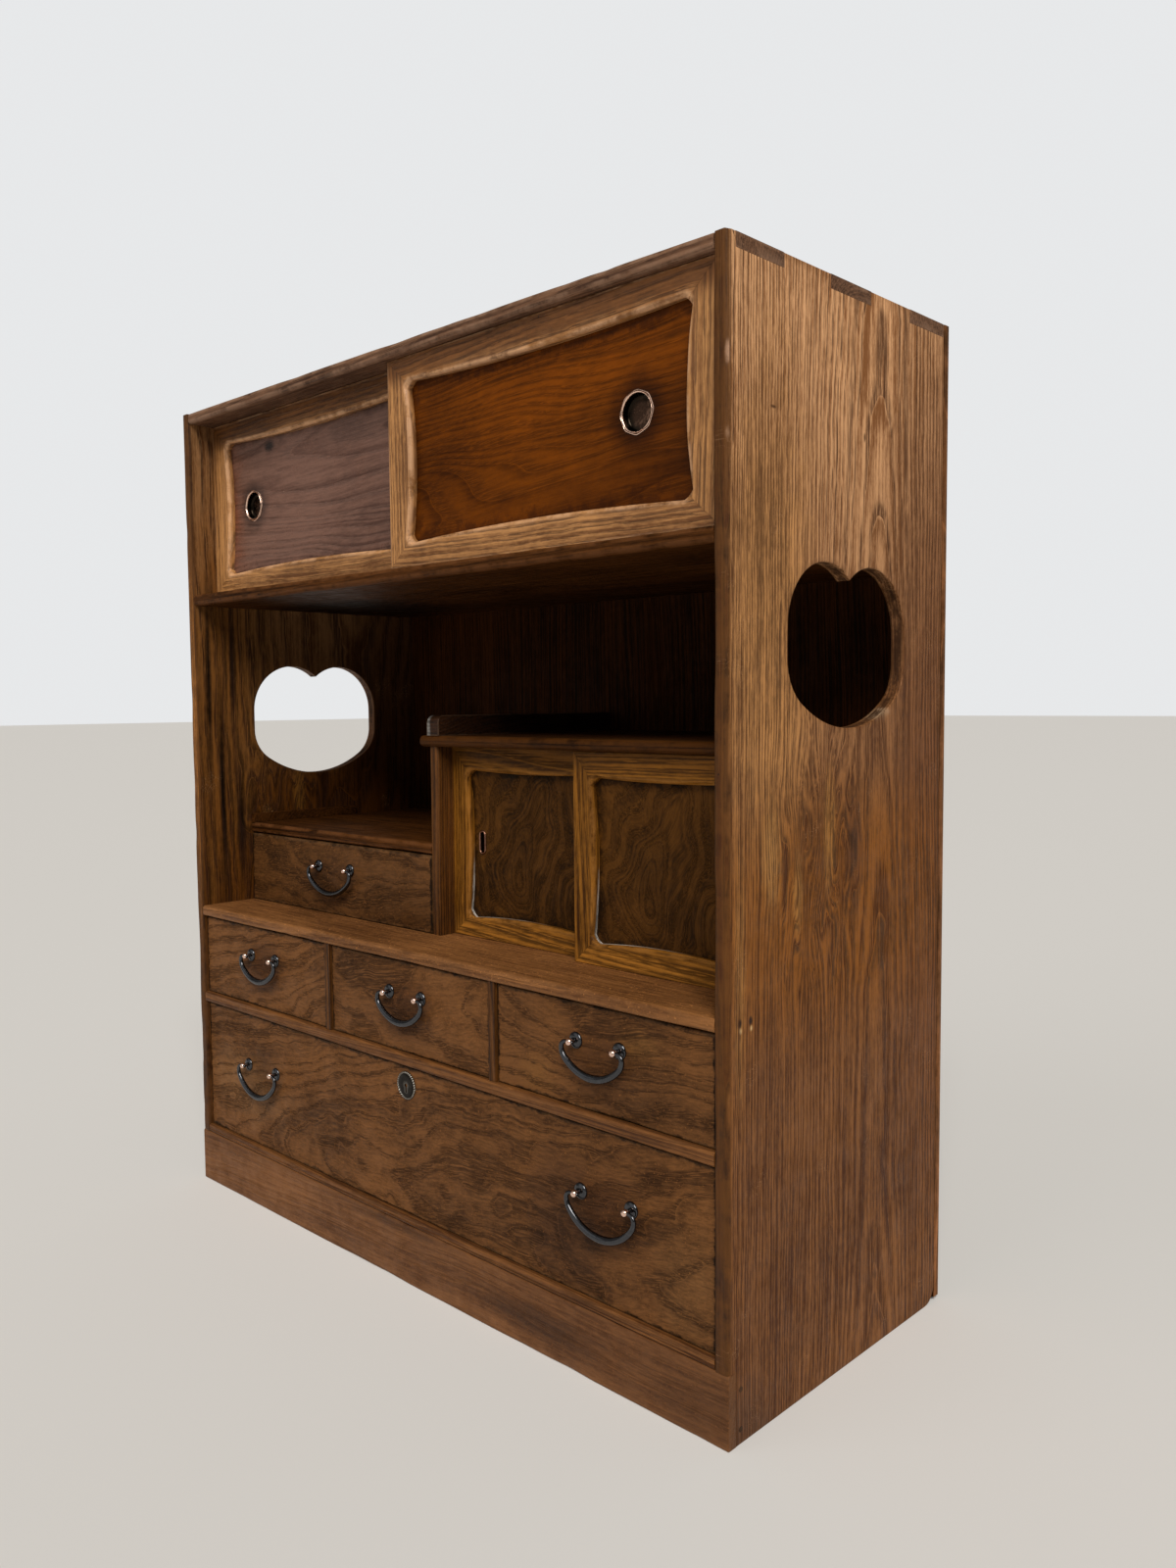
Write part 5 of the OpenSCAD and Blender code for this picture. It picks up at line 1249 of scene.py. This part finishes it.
def pearl_plate(centre):
    """Rim height and radius follow |cos| of the angle, one lobe for each pearl. Inside, the plate runs in to the
    outline of the keyhole, a circle with a slot below it, and turns back through it as the hole's wall."""
    angle = np.linspace(0, 2 * math.pi, PEARLS * 8, endpoint=False)
    lobe = np.abs(np.cos(angle * PEARLS / 2)) ** 0.7
    ray = np.stack([np.cos(angle), np.sin(angle)], 1)
    in_slot = ray[:, 1] < -0.5
    slot_x = np.clip(ray[:, 0] * KEY_R, -KEY_SLOT, KEY_SLOT)
    low = np.where(in_slot, -KEY_LONG * np.clip((-ray[:, 1] - 0.5) * 6, 0, 1), 0)
    hole = np.stack([np.where(in_slot, slot_x, ray[:, 0] * KEY_R), ray[:, 1] * KEY_R + low], 1)
    rows, wear, hollow = [], [], []

    def ring(flat, y, bright, dark):
        rows.append(np.stack([centre[0] + flat[:, 0], centre[1] + y + 0 * angle, centre[2] + flat[:, 1]], 1))
        wear.append(bright + 0 * angle)
        hollow.append(dark + 0 * angle)

    ring(hole, 0.0, 0.0, 1.0)
    ring(hole, -1.0 * MM, 0.0, 1.0)
    ring(hole * 1.04, -1.35 * MM, 0.5, 0.0)
    for share in (0.35, 0.7):
        ring(hole + (ray * PLATE_R - hole) * share, -1.4 * MM, 0.0, 0.3)
    for radius, y, pearl, bright in (
            (12.0, -1.4, 0, 0), (12.9, -1.0, 0, 0), (13.2, -1.1, 1, 0.5), (13.6, -1.8, 1, 1), (14.2, -2.25, 1, 1),
            (14.8, -1.9, 1, 1), (15.2, -1.2, 1, 1), (15.4, -0.6, 1, 0.5), (15.3, 0.0, 0, 0)):
        gap = pearl * (1 - lobe)
        ring((radius * MM - gap * PEARL_R)[:, None] * ray, y * MM + gap * PEARL_H, bright * lobe, 0.6 * (1 - pearl))
    values = {"wear": np.stack(wear)[..., None], "hollow": np.stack(hollow)[..., None]}
    return np.stack(rows), True, True, False, values


plate_low, plate_high = span_of("key_plate")
plate_at = (0.0, plate_high[1], (plate_low[2] + plate_high[2]) / 2)
plate_metal = metal("key_plate_metal", (46, 42, 38), (120, 112, 100), (0.25, 0.42), 0.2, touched=(150, 145, 136),
                    hollow=(30, 27, 24))
build("key_plate_disc", [pearl_plate(plate_at)], plate_metal, "wide_drawer", ["key_plate"], smooth=60)

# %% [markdown]
# ## Figured woods
# The two upper panels are one flamed board, oiled to a deep orange on the right and a purplish brown on the
# left. The small panels and the drawer fronts are burl: the same rings pushed about by a strong swirl.

# %% Figured woods
# The band darkened along each panel's edges, in the frame's recess, is painted shade.
right_panel = wood(
    "right_panel_wood", (112, 56, 4), (58, 25, 1), (32, 13, 1), heart=(-0.06, 0.80), lean=(0.09, -0.03),
    spacing=0.0042, wander=0.045, early=0.5, lines=0.45, fibres=0.3, flecks=0.15, pores=0.5, gloss=(0.3, 0.44),
    sheen=0.06, depth=0.0002, holes=0.1, edge_shading=(*boxed("upper_right_panel"), 0.022, (48, 20, 4), 0.6),
    # A painted sheen: a paler orange glow high on the panel.
    marks=[((0.26, -0.162, 0.94), 0.02, 0.14, (140, 70, 6), 0.5, (0.5, 1, 1)),
           (pull_at["upper", "right"], 0.016, 0.045, (34, 13, 5), 0.8, (1, 1, 1)),
           ((0.385, -0.162, 0.86), 0.0, 0.05, (44, 19, 6), 0.4, (1, 1, 0.6))])
# The band darkened along the panel's edges, in the frame's recess, is painted shade.
left_panel = wood(
    "left_panel_wood", (126, 91, 76), (78, 50, 39), (38, 24, 20), heart=(-0.05, 0.93), lean=(0.05, 0.05),
    spacing=0.007, wander=0.05, early=0.5, fibres=0.4, pores=0.3, clouds=0.4, gloss=(0.24, 0.38), sheen=0.4,
    depth=0.0002, holes=0.1, edge_shading=(*boxed("upper_left_panel"), 0.014, (52, 28, 16), 0.6),
    marks=[(pull_at["upper", "left"], 0.016, 0.04, (34, 20, 18), 0.75, (1, 1, 1)),
           ((-0.30, -0.139, 0.947), 0.002, 0.012, (22, 14, 12), 0.9, (0.7, 1, 1.3)),
           ((-0.386, -0.139, 0.875), 0.0, 0.03, (120, 52, 18), 0.6, (1, 1, 0.25))])
dress = {"upper_right_panel": right_panel, "upper_left_panel": left_panel}
for side, centre_x in (("right", 0.285), ("left", 0.085)):
    node = f"small_{side}_panel"
    # The band darkened along each small panel's edges, in the frame's recess, is painted shade.
    dress[node] = wood(
        f"small_{side}_burl", (88, 54, 18), (38, 21, 5), (16, 8, 2), grain="Y", heart=(0.472, centre_x),
        squash=(0.75, 1.0), spacing=0.019, wander=0.19, swirl=0.028, early=0.7, lines=0.35, fibres=0.2,
        flecks=0.35, pores=0.65, clouds=0.6, mottle=0.9, gloss=(0.34, 0.54), sheen=0.05,
        edge_shading=(*boxed(node), 0.016, (20, 11, 4), 0.75))

# %% [markdown]
# ## Drawer fronts
# A drawer's front laps over its opening, so it is a wide thin face with a narrower core behind it. One block
# would have no step behind its edge. The dark band along its edges is painted shade of the gap round the front,
# and a halo under each handle is the touch of years.

# %% Drawer fronts
LAP, WALL, SKIN = 7 * MM, 9 * MM, 0.1 * MM
EVEN = (1, 1, 1)
FIGURE = {"left": [], "middle": [],
          "right": [((0.334, FRONT, 0.3255), 0.003, 0.022, (150, 104, 52), 0.55, (0.6, 1, 1)),
                    ((0.205, FRONT, 0.275), 0.004, 0.03, (140, 94, 44), 0.5, (0.8, 1, 1)),
                    ((0.3, FRONT, 0.3), 1.0, 2.0, (98, 63, 34), 0.35, EVEN)],
          "small": [((0.0, FRONT, 0.4), 1.0, 2.0, (84, 54, 26), 0.5, EVEN)],
          "wide": [((-0.33, FRONT, 0.15), 0.01, 0.06, (132, 94, 56), 0.5, (0.5, 1, 1)),
                   ((0.24, FRONT, 0.14), 0.03, 0.07, (66, 40, 24), 0.5, (1, 1, 0.8)),
                   ((0.39, FRONT, 0.13), 0.01, 0.05, (128, 88, 50), 0.5, (1, 1, 0.6))]}
for seed, (name, heart) in enumerate((("left", (0.04, 0.22)), ("middle", (0.05, 0.30)), ("right", (0.03, 0.36)),
                                      ("small", (0.06, 0.50)), ("wide", (0.02, 0.10)))):
    node = f"{name}_drawer_front"
    halos = [(((a[0] + b[0]) / 2, a[1], a[2] - 0.012), 0.01, 0.05, (72, 40, 19), 0.6, (0.8, 1, 1))
             for a, b in zip(eyes[name][::2], eyes[name][1::2])]
    # The dark band along the front's edges is painted shade of the gap round the drawer.
    burl = wood(
        f"{name}_front_burl", (122, 79, 42), (66, 40, 18), (30, 17, 8), heart=heart, lean=(0.12, 0.06),
        spacing=0.009, wander=0.07, swirl=0.016, early=0.7, lines=0.32, fibres=0.25, flecks=0.4, pores=0.7,
        clouds=0.4, mottle=1.0, rubbed=(156, 112, 72), worn_share=0.25, sheen=0.08, depth=0.0003, dust=0.4,
        edge_shading=(*boxed(node), 0.0038, (16, 9, 4), 0.92), marks=halos + FIGURE[name])
    low, high = span_of(node)
    face = plank(low[0], high[0], low[1:], (low[1] + LAP, high[2]), (1.8, 0.3, 0.3, 2.0), end=1.3,
                 loss=(0.25, 0, 0, 0.3), chips=4, seed=60 + seed)
    core = plank(low[0] + WALL, high[0] - WALL, (low[1] + LAP / 2, low[2] + SKIN), high[1:] - [0, SKIN],
                 [0.4] * 4, step=20)
    build(f"{name}_drawer_face", [face, core], burl, f"{name}_drawer", [node])

# %% [markdown]
# ## Solids that stay
# The remaining solids keep their shape. Weld joins their loose triangles while rendering and Bevel breaks the
# sharp edges, then each gets the wood or metal that it is made of.

# %% Dress the solids
EDGE, THIN_EDGE = 0.6 * MM, 0.15 * MM


def finish_solid(node, material, bevel):
    """Weld, then a small rounded bevel on edges over 35 degrees, then the material in every slot."""
    solid = nodes[node]
    if not solid.data.materials:
        solid.data.materials.append(material)
    for slot in solid.material_slots:
        slot.material = material
    if bevel:
        solid.modifiers.new("join_triangles", "WELD").merge_threshold = 0.00001
        edge = solid.modifiers.new("broken_edges", "BEVEL")
        edge.width, edge.segments, edge.limit_method, edge.angle_limit = bevel, 2, "ANGLE", math.radians(35)


for material, names in ((inner_dark, ["back_panel"]), (gallery_wood, ["gallery_rail"]), (shelf_wood, ["wall_batten"]),
                        (upright_wood, ["partition", "drawer_dividers"]), (rail_wood, ["bottom_rail", "drawer_rail"]),
                        (bare_wood, ["bottom_board", "drawer_runners", "plinth_blocks"]),
                        (iron, ["back_nails", "lock_case"]), (steel, ["lock_bolt"]),
                        (bare_wood, [f"{name}_drawer_{part}" for name in FIGURE for part in ("box", "bed")])):
    dress.update({node: material for node in names})
for node, material in dress.items():
    thin = node.endswith(("nails", "bolt", "case"))
    finish_solid(node, material, 0 if node.endswith("panel") else THIN_EDGE if thin else EDGE)
print("solids dressed:", len(dress))
